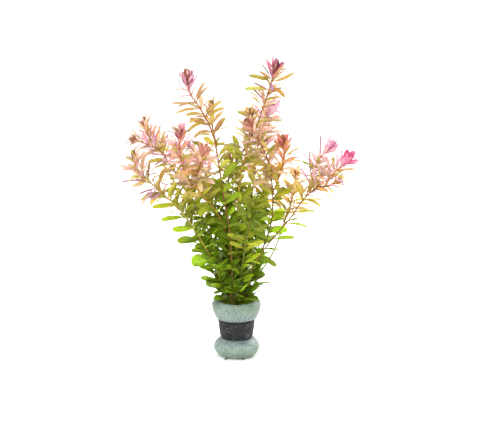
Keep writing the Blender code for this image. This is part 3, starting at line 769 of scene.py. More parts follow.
def leafTone(shoot, leaf):
    # young leaves are red or pink, and the older and lower a leaf is, the greener it is
    rng = shoot["rng"]
    low = max(0.0, leafColour["lowFrom"] - leaf["spot"].z) * leafColour["lowShare"]
    age = leaf["belowBud"] + low + eitherWay(rng, 1.0) * leafColour["ageStray"]
    light = 1.0 + rng.uniform(*leafColour["light"]) * blend(leafColour["lightSpread"], age)
    stray = rng.choice(leafColour["strayTones"])
    isStray = rng.random() < leafColour["strayChance"]
    share = rng.uniform(*leafColour["strayMuch" if isStray else "strayLittle"])
    share *= blend(leafColour["strayByAge"], age) * shoot["stray"]
    pale = shoot["pale"] * blend(leafColour["paleByAge"], age)
    tones = []
    for place in (age, age - leafColour["tipYounger"]):
        tone = blend(leafTones[shoot["leaves"]], max(leafColour["youngest"], place))
        tone = mixed(mixed(tone, leafColour["paleTone"], pale), stray, share)
        tones.append(tuple(min(leafColour["brightest"], c * light) for c in tone))
    return tones


# Blades

bladeCut = dict(
    thickness=0.26, rimThinner=0.45, footThicker=1.25, tipThinner=0.5, fold=0.1, foldLine=0.6, petiole=0.34,
    sway=0.5, swayLength=15.0, ripple=(0.1, 0.34), rippleTurns=(1.4, 2.6), rippleLag=1.3,
    bittenFrom=0.6, bitten=(0.66, 0.9), bittenReach=0.84,
    rows=(0.0, 0.14, 0.34, 0.58, 0.8, 0.93, 1.0), columns=4,
    broadRows=(0.0, 0.06, 0.14, 0.24, 0.36, 0.48, 0.6, 0.71, 0.81, 0.9, 0.96, 1.0), broadColumns=8,
)

# outline of each kind of blade: where it is widest, how slim its foot is, how round its tip, and its share of
# the width of the solid's leaf
outlines = dict(
    lance=dict(widest=0.5, foot=0.85, tip=2.4, share=1.06),
    spoon=dict(widest=0.62, foot=0.95, tip=2.3, share=1.04),
    broad=dict(widest=0.66, foot=0.75, tip=2.2, share=1.0),
    scale=dict(widest=0.55, foot=0.5, tip=2.6, share=1.0),
    petal=dict(widest=0.64, foot=0.5, tip=3.0, share=1.0),
)


def bladeTemplate(rows, columns):
    # a flat closed blade: x runs across it from -1 to 1, y along it from 0 to 1, and z is its side
    bm = bmesh.new()
    bmesh.ops.create_grid(bm, x_segments=columns, y_segments=len(rows) - 1, size=1.0)
    for vert in bm.verts:
        vert.co.y = rows[round((vert.co.y + 1) / 2 * (len(rows) - 1))]
    bmesh.ops.solidify(bm, geom=bm.faces[:], thickness=1.0)
    for vert in bm.verts:
        vert.co.z = 1.0 if vert.co.z > -0.5 else -1.0
    for face in bm.faces:
        face.material_index = 1
    bmesh.ops.recalc_face_normals(bm, faces=bm.faces)
    return meshFrom("blade", bm)


def outlineShare(outline, u):
    if u < outline["widest"]:
        return math.sin(math.pi / 2 * u / outline["widest"]) ** outline["foot"]
    return math.sqrt(max(0.0, 1.0 - ((u - outline["widest"]) / (1.0 - outline["widest"])) ** outline["tip"]))


def startDrawing(shoot, template):
    # gives the shoot an empty mesh, the layers that its finishes read, and the blade that its leaves copy
    bm = bmesh.new()
    tone = bm.verts.layers.float_color.new("tone")
    blade = bm.verts.layers.float_vector.new("blade")
    wear = bm.verts.layers.float.new("wear")
    return dict(shoot, bm=bm, tone=tone, blade=blade, wear=wear, template=template)


def addBlade(shoot, leaf, kind, tone, worn=0):
    # sets a copy of the template along the leaf's midrib, folded, waved and coloured
    bm = shoot["bm"]
    rng = shoot["rng"]
    first = len(bm.verts)
    bm.from_mesh(shoot["template"])
    bm.verts.ensure_lookup_table()
    outline = outlines[kind]
    half = leaf["width"] / 2 * outline["share"] * leaf.get("slim", 1.0)
    swayReach = eitherWay(rng, bladeCut["sway"]) * leaf["length"] / bladeCut["swayLength"]
    ripple = rng.uniform(*bladeCut["ripple"]) * min(1.0, half / 2)
    rippleTurns = rng.uniform(*bladeCut["rippleTurns"])
    ripplePhase = rng.uniform(0.0, math.tau)
    footTone = linear(tone)
    tipTone = linear(leaf["tipTone"])
    number = rng.random()
    biteStart, biteEnd = bladeCut["bitten"]
    frames = {}
    for vert in bm.verts[first:]:
        a, u, side = vert.co
        u = round(u, 4)
        bitten = worn and a * worn > bladeCut["bittenFrom"] and biteStart < u < biteEnd
        if u not in frames:
            frames[u] = bladeFrame(leaf, u)
        middle, across, upper = frames[u]
        stalk = bladeCut["petiole"] * (1 - 0.5 * u) * min(1.0, half)
        reach = max(outlineShare(outline, u) * half, stalk)
        reach *= bladeCut["bittenReach"] if bitten else 1.0
        lift = (abs(a) - bladeCut["foldLine"]) * reach * bladeCut["fold"] * 2
        lag = bladeCut["rippleLag"] if a > 0 else 0.0
        lift += ripple * a * a * math.sin(u * rippleTurns * math.tau + ripplePhase + lag)
        thick = bladeCut["thickness"] * (1.0 - bladeCut["rimThinner"] * a * a)
        thick *= bladeCut["footThicker"] - bladeCut["tipThinner"] * u
        sway = swayReach * math.sin(math.pi * u)
        vert.co = middle + across * (a * reach + sway) + upper * (lift + side * thick / 2)
        vert[shoot["tone"]] = [foot + (tip - foot) * u * u for foot, tip in zip(footTone, tipTone)]
        vert[shoot["blade"]] = (a, u, number)
        vert[shoot["wear"]] = 1.0 if bitten else 0.0


# Stems

stemCut = dict(
    sides=10, ringSpacing=1.6, inBud=0.35, knotSwell=0.2, knotReach=1.1, roundShare=1.08, uneven=0.03,
    knotShade=0.25, shadeReach=0.8,
)


def startFace(bm, corners):
    # a flat face at the given corners, from which a tube is extruded
    bmesh.ops.create_circle(bm, cap_ends=True, segments=len(corners), radius=1.0)
    bm.faces.ensure_lookup_table()
    face = bm.faces[-1]
    for vert, corner in zip(face.verts, corners):
        vert.co = corner
    return face


def pushFace(bm, face, corners):
    pushed = bmesh.ops.extrude_discrete_faces(bm, faces=[face])["faces"][0]
    for vert, corner in zip(pushed.verts, corners):
        vert.co = corner
    return pushed


def addTube(bm, rings, sides, layer=None):
    # a closed tube through rings of (spot, side, other, radius, tone)
    face = None
    turns = [math.tau * i / sides for i in range(sides)]
    for spot, side, other, radius, tone in rings:
        corners = [spot + side * (radius * math.cos(t)) + other * (radius * math.sin(t)) for t in turns]
        face = startFace(bm, corners) if face is None else pushFace(bm, face, corners)
        if layer:
            for vert in face.verts:
                vert[layer] = tone
    bmesh.ops.holes_fill(bm, edges=bm.edges[:], sides=sides)


def nearKnot(distance, reach):
    return math.exp(-((distance / reach) ** 2))


def addStem(shoot):
    route = shoot["route"]
    knots = [pair[0]["place"] for pair in shoot["pairs"]] + [leaf["place"] for leaf in shoot["loose"]]
    end = route.length - growth["budLength"] * stemCut["inBud"]
    count = round(end / stemCut["ringSpacing"])
    rings = []
    for i in range(count + 1):
        place = end * i / count
        spot, along, side, other = route.at(place)
        near = min((abs(place - knot) for knot in knots), default=math.inf)
        swell = stemCut["knotSwell"] * nearKnot(near, stemCut["knotReach"])
        uneven = eitherWay(shoot["rng"], stemCut["uneven"])
        radius = shoot["halfAt"](place) * stemCut["roundShare"] * (1 + swell + uneven)
        shade = 1.0 - stemCut["knotShade"] * nearKnot(near, stemCut["shadeReach"])
        red, green, blue, alpha = linear(blend(stemTones[shoot["stem"]], spot.z))
        rings.append((spot, side, other, radius, (red * shade, green * shade, blue * shade, alpha)))
    addTube(shoot["bm"], rings, stemCut["sides"], shoot["tone"])


# Leaves of a shoot

def kindOf(shoot, leaf):
    return "spoon" if leaf["belowBud"] > shoot["spoonFrom"] else "lance"


def addLeaf(shoot, leaf, kind, worn=0):
    tone, tip = leafTone(shoot, leaf)
    addBlade(shoot, dict(leaf, tipTone=tip, slim=shoot["slim"]), kind, tone, worn)


fillers = dict(
    rosetteReach=13.0, younger=2.0, inStem=0.7, rollShare=0.6,
    rosette=dict(share=0.86, turn=45.0, rise=1.2, width=0.8, tilt=(-12.0, 0.0)),
    axil=dict(
        chance=((40.0, 0.3), (100.0, 0.6)), share=(0.42, 0.68), turn=(40.0, 90.0), rise=0.4, wider=0.1,
        tilt=(-20.0, 10.0),
    ),
)


def addFillers(shoot, leaf):
    # small leaves that the solids leave out: between the pairs of a rosette, and in the leaf axils
    rng = shoot["rng"]
    inRosette = leaf["belowBud"] < fillers["rosetteReach"]
    made = fillers["rosette" if inRosette else "axil"]
    if rng.random() > (1.0 if inRosette else blend(made["chance"], leaf["belowBud"])):
        return
    if inRosette:
        share = made["share"]
        width = made["width"]
        turn = made["turn"]
    else:
        share = rng.uniform(*made["share"])
        width = share + made["wider"]
        turn = rng.choice((-1, 1)) * rng.uniform(*made["turn"])
    out = turned(leaf["out"], turn, leaf["up"])
    small = dict(
        leaf, out=out, length=leaf["length"] * share, width=leaf["width"] * width,
        base=leaf["spot"] + leaf["up"] * made["rise"] + out * (leaf["stem"] * fillers["inStem"]),
        belowBud=leaf["belowBud"] - fillers["younger"], pitch=leaf["pitch"] + rng.uniform(*made["tilt"]),
        roll=leaf["roll"] * fillers["rollShare"],
    )
    addLeaf(shoot, small, kindOf(shoot, leaf))


betweenCut = dict(
    reach=(7.0, 150.0), placeStray=0.08, turnStray=20.0, share=(0.75, 1.0), inStem=0.7, tilt=(-14.0, 8.0),
    curl=(8.0, 36.0), roll=40.0, toViewer=-0.5, asideTurn=65.0, leaning=0.85, liftChance=0.6, liftShare=0.5,
)


def addBetween(shoot):
    # pairs of leaves between those of the solids, each pair turned its own way
    rng = shoot["rng"]
    for low, high in zip(shoot["pairs"][1:], shoot["pairs"]):
        upper = high[0]
        lower = low[0]
        count = int(shoot["between"] + rng.random())
        for k in range(count):
            part = (k + 1) / (count + 1) + eitherWay(rng, betweenCut["placeStray"])
            place = upper["place"] + (lower["place"] - upper["place"]) * part
            below = upper["belowBud"] + (lower["belowBud"] - upper["belowBud"]) * part
            if not betweenCut["reach"][0] < below < betweenCut["reach"][1]:
                continue
            spot, along, side, other = shoot["route"].at(place)
            turn = rng.uniform(0.0, 180.0)
            for half in (0.0, 180.0):
                share = rng.uniform(*betweenCut["share"])
                out = turned(side, turn + half + eitherWay(rng, betweenCut["turnStray"]), along)
                if out.y < betweenCut["toViewer"]:
                    # a leaf that would point at the viewer stands to one side
                    out = turned(out, rng.choice((-1, 1)) * betweenCut["asideTurn"], along)
                if along.z < betweenCut["leaning"] and rng.random() < betweenCut["liftChance"]:
                    # leaves of a leaning stem lift towards the light
                    lifted = out * betweenCut["liftShare"] + upright - along * upright.dot(along)
                    out = lifted.normalized()
                leaf = dict(
                    upper, spot=spot, up=along, out=out, belowBud=below,
                    base=spot + out * (upper["stem"] * betweenCut["inStem"]), length=upper["length"] * share,
                    width=upper["width"] * share, pitch=upper["pitch"] + rng.uniform(*betweenCut["tilt"]),
                    curl=rng.uniform(*betweenCut["curl"]), roll=eitherWay(rng, betweenCut["roll"]),
                )
                addLeaf(shoot, leaf, kindOf(shoot, leaf))


# each pair of a tuft: its share of the stalk, tilt and turn
tuftCut = dict(
    reach=(16.0, 110.0), stalk=(3.5, 7.0), stalkWidth=0.9, pastEnd=0.6, stalkCurl=6.0, turn=30.0,
    lean=(22.0, 48.0), pairs=((0.45, 48.0, 0.0), (0.98, 30.0, 90.0)), length=(6.0, 10.0), width=(2.0, 3.4),
    tilt=8.0, curl=(6.0, 30.0), roll=30.0, younger=0.7,
)


def addTufts(shoot):
    # short side shoots in the leaf axils: a stalk with two small pairs of leaves
    rng = shoot["rng"]
    nearest, furthest = tuftCut["reach"]
    for plan in [plan for pair in shoot["pairs"] for plan in pair]:
        if not nearest < plan["belowBud"] < furthest or rng.random() > shoot["tufts"]:
            continue
        stalk = rng.uniform(*tuftCut["stalk"])
        out = turned(plan["axis"], eitherWay(rng, tuftCut["turn"]), plan["up"])
        lean = math.radians(rng.uniform(*tuftCut["lean"]))
        ahead = (plan["up"] * math.cos(lean) + out * math.sin(lean)).normalized()
        flat = ahead.cross(out).normalized()
        tone = blend(stemTones[shoot["stem"]], plan["spot"].z)
        foot = dict(
            up=ahead, out=flat.cross(ahead), base=plan["spot"], length=stalk + tuftCut["pastEnd"],
            width=tuftCut["stalkWidth"], pitch=0.0, curl=tuftCut["stalkCurl"], roll=0.0, tipTone=tone,
        )
        addBlade(shoot, foot, "scale", tone)
        for share, pitch, turn in tuftCut["pairs"]:
            spot = plan["spot"] + ahead * (stalk * share)
            for half in (0.0, 180.0):
                leaf = dict(
                    plan, spot=spot, base=spot, up=ahead, out=turned(flat, half + turn, ahead),
                    belowBud=plan["belowBud"] * tuftCut["younger"], length=rng.uniform(*tuftCut["length"]),
                    width=rng.uniform(*tuftCut["width"]), pitch=pitch + eitherWay(rng, tuftCut["tilt"]),
                    curl=rng.uniform(*tuftCut["curl"]), roll=eitherWay(rng, tuftCut["roll"]),
                )
                addLeaf(shoot, leaf, "lance")


# an open goblet, a slim column, a tall fan or a closed egg: how far below the solid's bud it starts, and rows
# of count, length, width, tilt from the stem and curl
buds = dict(
    goblet=(0.6, ((5, 11.2, 3.7, 42.0, -2.0), (4, 10.8, 3.6, 22.0, 0.0), (3, 9.2, 3.2, 7.0, -6.0))),
    column=(4.6, ((5, 11.6, 2.0, 38.0, -36.0), (4, 10.8, 4.4, 10.0, -8.0), (4, 9.8, 4.2, 4.0, -8.0))),
    fan=(1.4, ((6, 11.8, 2.4, 38.0, 2.0), (5, 11.2, 2.6, 20.0, -4.0), (3, 9.8, 2.5, 6.0, -4.0))),
    egg=(0.4, ((4, 7.8, 2.0, 42.0, 8.0), (4, 6.8, 2.9, 21.0, -38.0), (3, 6.0, 2.6, 11.0, -26.0))),
)
budCut = dict(
    rise=0.9, rowTurn=45.0, turnStray=12.0, standOff=0.4, length=(0.84, 1.04), width=(0.85, 1.1), tilt=5.0,
    curl=(0.5, 3.0), roll=14.0, tipShade=0.88,
)
# colours of the bud's leaves, row by row from the outside
budTones = dict(
    rose=(
        ((228, 172, 194), (244, 220, 234), (204, 184, 128)), ((226, 160, 154), (212, 150, 134)),
        ((212, 152, 138), (200, 166, 124)),
    ),
    plum=(
        ((228, 208, 156), (230, 160, 190), (226, 190, 140)),
        ((208, 104, 158), (226, 128, 170), (196, 130, 150)),
        ((146, 78, 130), (160, 92, 132)),
    ),
    coral=(
        ((248, 200, 170), (244, 204, 144), (248, 194, 178)), ((242, 172, 170), (246, 192, 160)),
        ((212, 150, 122), (198, 170, 112)),
    ),
    magenta=(
        ((238, 116, 168), (246, 166, 204), (250, 198, 224)), ((240, 130, 182), (230, 118, 172)),
        ((208, 140, 176), (222, 146, 160)),
    ),
    blush=(
        ((248, 214, 232), (250, 230, 240)),
        ((246, 204, 226), (242, 196, 218)),
        ((234, 178, 206), (236, 194, 204)),
    ),
    salmon=(
        ((244, 200, 182), (240, 208, 170)),
        ((238, 176, 164), (244, 196, 180)),
        ((210, 154, 130), (196, 166, 114)),
    ),
    wine=(
        ((204, 172, 128), (220, 186, 144), (228, 176, 190)), ((182, 132, 120), (168, 124, 104)),
        ((156, 150, 102), (170, 156, 110)),
    ),
    russet=(
        ((220, 188, 146), (214, 170, 138)),
        ((198, 150, 122), (188, 142, 112)),
        ((178, 156, 106), (192, 164, 112)),
    ),
    amber=(
        ((230, 188, 128), (236, 206, 142)),
        ((210, 148, 108), (218, 170, 112)),
        ((186, 136, 98), (196, 158, 106)),
    ),
)


def addBud(shoot):
    # rings of young leaves round the tip, each ring shorter and more upright than the one outside it
    route = shoot["route"]
    rng = shoot["rng"]
    young = youngTones[shoot["leaves"]]
    tones = budTones.get(shoot["leaves"], (young[1:2], young[:2], young[:1]))
    sink, rows = buds[shoot["bud"]]
    size = shoot["budSize"]
    sink = sink * size + shoot["budSink"]
    for row, (count, length, width, pitch, curl) in enumerate(rows):
        spot, along, side, other = route.at(route.length - growth["budLength"] - sink + row * budCut["rise"])
        for i in range(count):
            turn = 360.0 * i / count + budCut["rowTurn"] * row + eitherWay(rng, budCut["turnStray"])
            out = turned(side, turn, along)
            tone = rng.choice(tones[row])
            leaf = dict(
                up=along, out=out, base=spot + out * budCut["standOff"],
                length=length * size * rng.uniform(*budCut["length"]),
                width=width * size * rng.uniform(*budCut["width"]),
                pitch=pitch + eitherWay(rng, budCut["tilt"]), curl=curl + rng.uniform(*budCut["curl"]),
                roll=eitherWay(rng, budCut["roll"]),
                tipTone=tuple(c * budCut["tipShade"] for c in tone),
            )
            addBlade(shoot, leaf, "petal", tone)


threadCut = dict(
    reach=(3.0, 42.0), length=(10.0, 16.0), width=(1.0, 2.0), pitch=(20.0, 60.0), bend=(25.0, 90.0),
    roll=40.0, standOff=0.3, tones=((248, 222, 234), (238, 204, 224), (244, 216, 200)), tip=(198, 158, 186),
)


def addThreads(shoot):
    # narrow young leaves that bow and hook round
    route = shoot["route"]
    rng = shoot["rng"]
    for i in range(shoot["threads"]):
        below = rng.uniform(*threadCut["reach"])
        spot, along, side, other = route.at(max(1.0, route.length - growth["budLength"] - below))
        out = Matrix.Rotation(rng.uniform(0.0, math.tau), 3, along) @ side
        bend = rng.uniform(*threadCut["bend"])
        pitch = rng.uniform(*threadCut["pitch"])
        if rng.random() < 0.5:
            pitch += bend
            bend = -bend
        leaf = dict(
            up=along, out=out, base=spot + out * threadCut["standOff"],
            length=rng.uniform(*threadCut["length"]), width=rng.uniform(*threadCut["width"]), pitch=pitch,
            curl=bend, roll=eitherWay(rng, threadCut["roll"]), tipTone=threadCut["tip"],
        )
        addBlade(shoot, leaf, "scale", rng.choice(threadCut["tones"]))


neckCut = dict(
    heights=(36.5, 60.0), crowded=1.3, centred=1.0, turn=85.0, standOff=0.4, belowBud=178.0,
    length=(7.0, 12.5), width=(5.0, 8.0), pitch=(28.0, 76.0), curl=(4.0, 30.0), roll=30.0,
)


def addNeckLeaves(shoot):
    # short leaves crowded where a stem leaves the foam
    rng = shoot["rng"]
    low, high = neckCut["heights"]
    count = shoot["neck"] if "ring" in shoot else 0
    for i in range(count):
        height = low + (high - low) * (i / count) ** neckCut["crowded"]
        place = shoot["route"].upTo(height, start=height)
        spot, along, side, other = shoot["route"].at(place)
        outward = Vector((spot.x, spot.y, 0.0))
        if spot.xy.length <= neckCut["centred"]:
            outward = Vector((rng.uniform(-1, 1), -1.0, 0.0))
        out = turned(squareTo(along, outward), eitherWay(rng, neckCut["turn"]), along)
        leaf = dict(
            spot=spot, up=along, out=out, base=spot + out * neckCut["standOff"], belowBud=neckCut["belowBud"],
            length=rng.uniform(*neckCut["length"]), width=rng.uniform(*neckCut["width"]),
            pitch=rng.uniform(*neckCut["pitch"]), curl=rng.uniform(*neckCut["curl"]),
            roll=eitherWay(rng, neckCut["roll"]),
        )
        addLeaf(shoot, leaf, "broad")


# single leaves that stand clear of the others, by shoot: height of the foot above the floor, heading, length,
# width, angle from upright, curl, roll and colour
single = dict(
    tall_left=(
        (193.5, 183, 18.2, 2.5, 84, 8, 36, (222, 184, 160)),
        (189.6, 178, 17.8, 2.7, 80, 40, 40, (222, 186, 132)),
        (185.8, 190, 13.0, 2.9, 75, 34, 45, (220, 194, 112)),
        (180.9, 176, 13.8, 2.7, 70, 56, 40, (202, 170, 104)),
        (178.7, 186, 16.8, 2.9, 78, 70, 42, (212, 192, 104)),
        (172.7, 180, 14.5, 2.8, 66, 90, 45, (216, 170, 128)),
        (196.3, 2, 14.8, 2.6, 24, 12, 36, (214, 174, 136)),
        (190.1, 20, 9.0, 3.0, 4, -10, 60, (232, 200, 178)),
        (186.3, -4, 16.0, 3.0, 50, 8, 45, (216, 188, 128)),
        (183.4, 4, 15.4, 2.7, 52, 22, 42, (218, 194, 104)),
        (171.3, -2, 13.0, 2.7, 28, 10, 42, (214, 164, 140)),
        (198.5, 205, 15.0, 3.8, 22, -6, 60, (246, 218, 232)),
        (202.0, 185, 13.6, 1.3, 66, -56, 20, (206, 148, 182)),
        (206.5, 175, 9.0, 1.1, 50, -44, 20, (200, 132, 170)),
        (207.5, 170, 9.2, 1.3, 24, -20, 20, (158, 104, 132)),
        (206.5, 5, 9.6, 1.4, 40, -34, 20, (178, 116, 162)),
        (157.0, 182, 20.0, 3.8, 58, 12, 45, (208, 200, 84)),
        (57.0, 205, 11.0, 8.0, 118, 20, 1, (140, 178, 46)),
    ),
    far_left=(
        (143.0, 180, 15.0, 2.6, 66, 8, 45, (242, 208, 214)),
        (136.0, 182, 19.5, 1.9, 84, 14, 40, (220, 178, 188)),
        (130.5, 180, 14.0, 1.8, 98, 22, 40, (198, 146, 156)),
        (123.5, 180, 15.5, 3.0, 78, 26, 45, (164, 160, 72)),
        (138.5, 10, 11.0, 1.2, 40, 70, 30, (222, 178, 204)),
        (133.0, 0, 12.0, 1.3, 50, 90, 30, (226, 188, 214)),
    ),
    tall_right=(
        (206.9, 184, 17.4, 3.3, 66, 18, 50, (184, 172, 88)),
        (206.9, -4, 17.6, 2.9, 84, -34, 45, (212, 186, 126)),
        (200.2, 178, 17.6, 3.2, 70, 34, 50, (214, 214, 110)),
        (200.6, 186, 11.8, 1.8, 58, 12, 40, (206, 152, 134)),
        (202.1, -8, 13.0, 3.2, 96, 56, 50, (212, 172, 106)),
        (197.5, 0, 11.0, 1.6, 60, 10, 40, (200, 144, 108)),
        (191.5, 180, 13.2, 1.6, 30, 24, 40, (192, 136, 118)),
        (190.5, 200, 10.0, 3.6, 8, -4, 60, (240, 204, 182)),
        (209.0, 182, 13.4, 1.5, 38, -6, 30, (160, 146, 100)),
        (210.0, 190, 8.4, 1.3, 38, -44, 30, (178, 118, 178)),
        (205.5, -60, 6.0, 1.9, 168, 6, 30, (208, 174, 218)),
        (156.0, 185, 15.5, 3.8, 48, 70, 45, (204, 200, 124)),
        (168.0, 180, 10.0, 2.6, 58, 34, 40, (198, 206, 76)),
    ),
    centre_left=(
        (168.5, 200, 5.4, 2.1, 40, -8, 60, (212, 104, 156)),
        (168.5, -30, 10.0, 3.2, 22, 6, 60, (242, 160, 188)),
        (167.5, 60, 10.0, 3.0, 34, 10, 60, (242, 178, 206)),
        (173.5, 182, 8.0, 1.2, 52, -8, 20, (150, 116, 104)),
        (171.0, 176, 11.0, 1.1, 66, 16, 20, (172, 158, 140)),
    ),
    far_right_fork=(
        (151.0, 96, 17.0, 1.2, 12, -17, 20, (206, 164, 166)),
        (137.0, 150, 20.0, 1.3, 22, -31, 20, (214, 164, 158)),
    ),
    front=((50.5, 246, 12.5, 8.6, 34, 4, 1, (136, 172, 110)),),
)
singleCut = dict(
    standOff=0.5, tipShade=0.82, tip=(184, 188, 96), tipWidths=(2.0, 3.6), tipShares=(0.55, 0.45),
    narrow=2.0, broad=6.0,
)


def addSingle(shoot):
    # adds the shoot's single leaves, of which the ones of middling width have greener tips
    narrowest, widest = singleCut["tipWidths"]
    own, green = singleCut["tipShares"]
    for height, heading, length, width, pitch, curl, roll, tone in single.get(shoot["name"], ()):
        spot = shoot["route"].at(shoot["route"].upTo(height))[0]
        out = level(heading)
        tip = tuple(c * singleCut["tipShade"] for c in tone)
        if narrowest < width < widest:
            tip = tuple(c * own + other * green for c, other in zip(tone, singleCut["tip"]))
        leaf = dict(
            up=upright, out=out, base=spot + out * singleCut["standOff"], length=length, width=width,
            pitch=pitch, curl=curl, roll=roll if out.x > 0.0 else -roll, tipTone=tip,
        )
        kind = "scale" if width < singleCut["narrow"] else "lance" if width < singleCut["broad"] else "broad"
        addBlade(shoot, leaf, kind, tone)


# the worn leaf is the one of its stem that grows between two heights
broadCut = dict(stalkStart=0.8, stalkShare=0.5, wornShoot="far_left", wornHeights=(70.0, 80.0), wornSide=-1)


def makeShoot(planned, corners, templates, materials):
    # draws a stem with all that grows on it and its broad leaves, and counts the leaves that the solids have
    shoot = startDrawing(planned, templates["small"])
    addStem(shoot)
    kept = 0
    for plan in [plan for pair in shoot["pairs"] for plan in pair]:
        leaf = grownLeaf(plan, False, corners)
        if leaf:
            kept += 1
            addLeaf(shoot, leaf, kindOf(shoot, leaf))
            addFillers(shoot, leaf)
    for addMore in (addBetween, addTufts, addBud, addThreads, addNeckLeaves, addSingle):
        addMore(shoot)
    makePiece(shoot["node"].replace("_", "-", 1), shoot["bm"], materials, shoot["node"])
    for plan in shoot["loose"]:
        leaf = grownLeaf(plan, True, corners)
        if leaf:
            kept += 1
            makeBroadLeaf(startDrawing(planned, templates["broad"]), leaf, materials)
    return kept


def makeBroadLeaf(shoot, leaf, materials):
    # a large low leaf, whose stalk runs back to the stem
    stalk = (leaf["base"] - leaf["spot"]).length - leaf["stem"] * broadCut["stalkStart"]
    length = leaf["length"] + stalk * broadCut["stalkShare"]
    leaf = dict(leaf, base=leaf["base"] - leaf["out"] * stalk, length=length)
    low, high = broadCut["wornHeights"]
    isWorn = shoot["name"] == broadCut["wornShoot"] and low < leaf["spot"].z < high
    addLeaf(shoot, leaf, "broad", broadCut["wornSide"] if isWorn else 0)
    makePiece(leaf["node"].replace("_", "-", 1), shoot["bm"], materials, leaf["node"])


# Foam roll

# outside is the roll's section from under its foot, over its top and down into the bore, as (radius, height).
# The rest is its mesh, its pores and lumps, the winding's crease on top, its foot and what the lead hides.
foamCut = dict(
    bore=(5.8, 0.3),
    outside=(
        (11.8, 0.1), (13.0, 1.0), (16.0, 3.2), (17.4, 6.6), (16.4, 10.0), (12.9, 13.4), (10.9, 14.2),
        (12.2, 28.4), (14.8, 29.2), (17.4, 34.0), (18.4, 39.6), (17.4, 42.1), (14.6, 42.6), (11.4, 41.2),
        (8.2, 39.4), (6.2, 36.5), (5.6, 30.0), (5.6, 25.0),
    ),
    steps=300, fineStep=0.32, coarseStep=1.3, hiddenHeights=(12.0, 28.8), hiddenRadius=13.5, inBore=6.5,
    poreSize=0.85, poreDepth=0.4, poreWall=0.55, lump=0.5, lumpSizes=(5.5, 2.2), lumpFine=0.4,
    creaseFrom=36.0, facingUp=0.3, creaseInner=6.0, layer=4.6, creaseDepth=0.5, creaseWidth=0.09,
    footHeight=1.5, footShare=0.3, leadHeights=(13.0, 28.6), leadRadius=8.0, pressed=0.25,
)


def foamOutline():
    # points of the roll's section, close together where it shows
    knots = [Vector((r, 0.0, z)) for r, z in foamCut["outside"]]
    slopes = [(b - a).normalized() for a, b in zip(knots, knots[1:])]
    smooth = [slopes[0], *[(a + b).normalized() for a, b in zip(slopes, slopes[1:])], slopes[-1]]
    boreRadius, boreHeight = foamCut["bore"]
    low, high = foamCut["hiddenHeights"]
    line = [Vector((boreRadius, 0.0, boreHeight))]
    for a, b, slopeA, slopeB in zip(knots, knots[1:], smooth, smooth[1:]):
        hidden = (low < a.z < high and a.x < foamCut["hiddenRadius"]) or a.x < foamCut["inBore"]
        step = foamCut["coarseStep"] if hidden else foamCut["fineStep"]
        count = max(2, round((b - a).length / step) + 1)
        third = (b - a).length / 3
        line += interpolate_bezier(a, a + slopeA * third, b - slopeB * third, b, count)[:-1]
    line.append(knots[-1])
    return line


def foamDepth(spot, normal, wall):
    # how far a point of the roll lies inside its plain outline
    radius = math.hypot(spot.x, spot.y)
    lump = lumps(spot, foamCut["lumpSizes"], foamCut["lump"], foamCut["lumpFine"])
    depth = wall * foamCut["poreDepth"] - lump
    if spot.z > foamCut["creaseFrom"] and normal.z > foamCut["facingUp"]:
        # the winding shows on top as a crease that runs inwards
        angle = math.atan2(spot.y, spot.x)
        winding = ((radius - foamCut["creaseInner"]) / foamCut["layer"] + angle / math.tau) % 1.0
        fromCrease = min(winding, 1.0 - winding) / foamCut["creaseWidth"]
        depth += foamCut["creaseDepth"] * math.exp(-(fromCrease ** 2))
    if spot.z < foamCut["footHeight"]:
        depth = max(depth, 0.0) * foamCut["footShare"]
    low, high = foamCut["leadHeights"]
    if low < spot.z < high and radius > foamCut["leadRadius"]:
        depth = foamCut["pressed"]
    return depth


def makeFoam():
    bm = bmesh.new()
    line = foamOutline()
    bmesh.ops.create_circle(bm, segments=len(line), radius=1.0)
    for vert, spot in zip(bm.verts, line):
        vert.co = spot
    bmesh.ops.spin(
        bm, geom=bm.verts[:] + bm.edges[:], cent=(0, 0, 0), axis=(0, 0, 1),
        angle=math.tau, steps=foamCut["steps"], use_merge=True, use_duplicate=False,
    )
    bmesh.ops.recalc_face_normals(bm, faces=bm.faces)
    bm.normal_update()
    pore = bm.verts.layers.float.new("pore")
    moves = []
    for vert in bm.verts:
        away = noise.voronoi(vert.co / foamCut["poreSize"])[0]
        vert[pore] = wall = min(1.0, (away[1] - away[0]) / foamCut["poreWall"])
        moves.append(vert.normal * -foamDepth(vert.co, vert.normal, wall))
    for vert, move in zip(bm.verts, moves):
        vert.co += move
        vert.co.z = max(0.0, vert.co.z)
    piece = makePiece("foam-roll", bm, [foamFinish()], "foam_wrap")


# Lead strip

# the strip's lower and upper edge as (height, outer radius), where its inner end is, how far it goes round,
# over which angle it climbs onto itself, how its edges are rounded, and its dents
stripCut = dict(
    bottom=(14.3, 12.2), top=(28.1, 14.0), thickness=1.2, start=100.0, turn=395.0, rise=50.0, gap=0.3,
    steps=132, rounding=0.35, edgeDepths=(0.3, 0.7), shares=(0.14, 0.29, 0.43, 0.57, 0.71, 0.86), sharp=50.0,
    dent=0.22, dentSizes=(4.5, 1.7), dentFine=0.35, dentMost=0.12,
    ragged=0.18, raggedSize=3.0, raggedSeed=9.0,
)


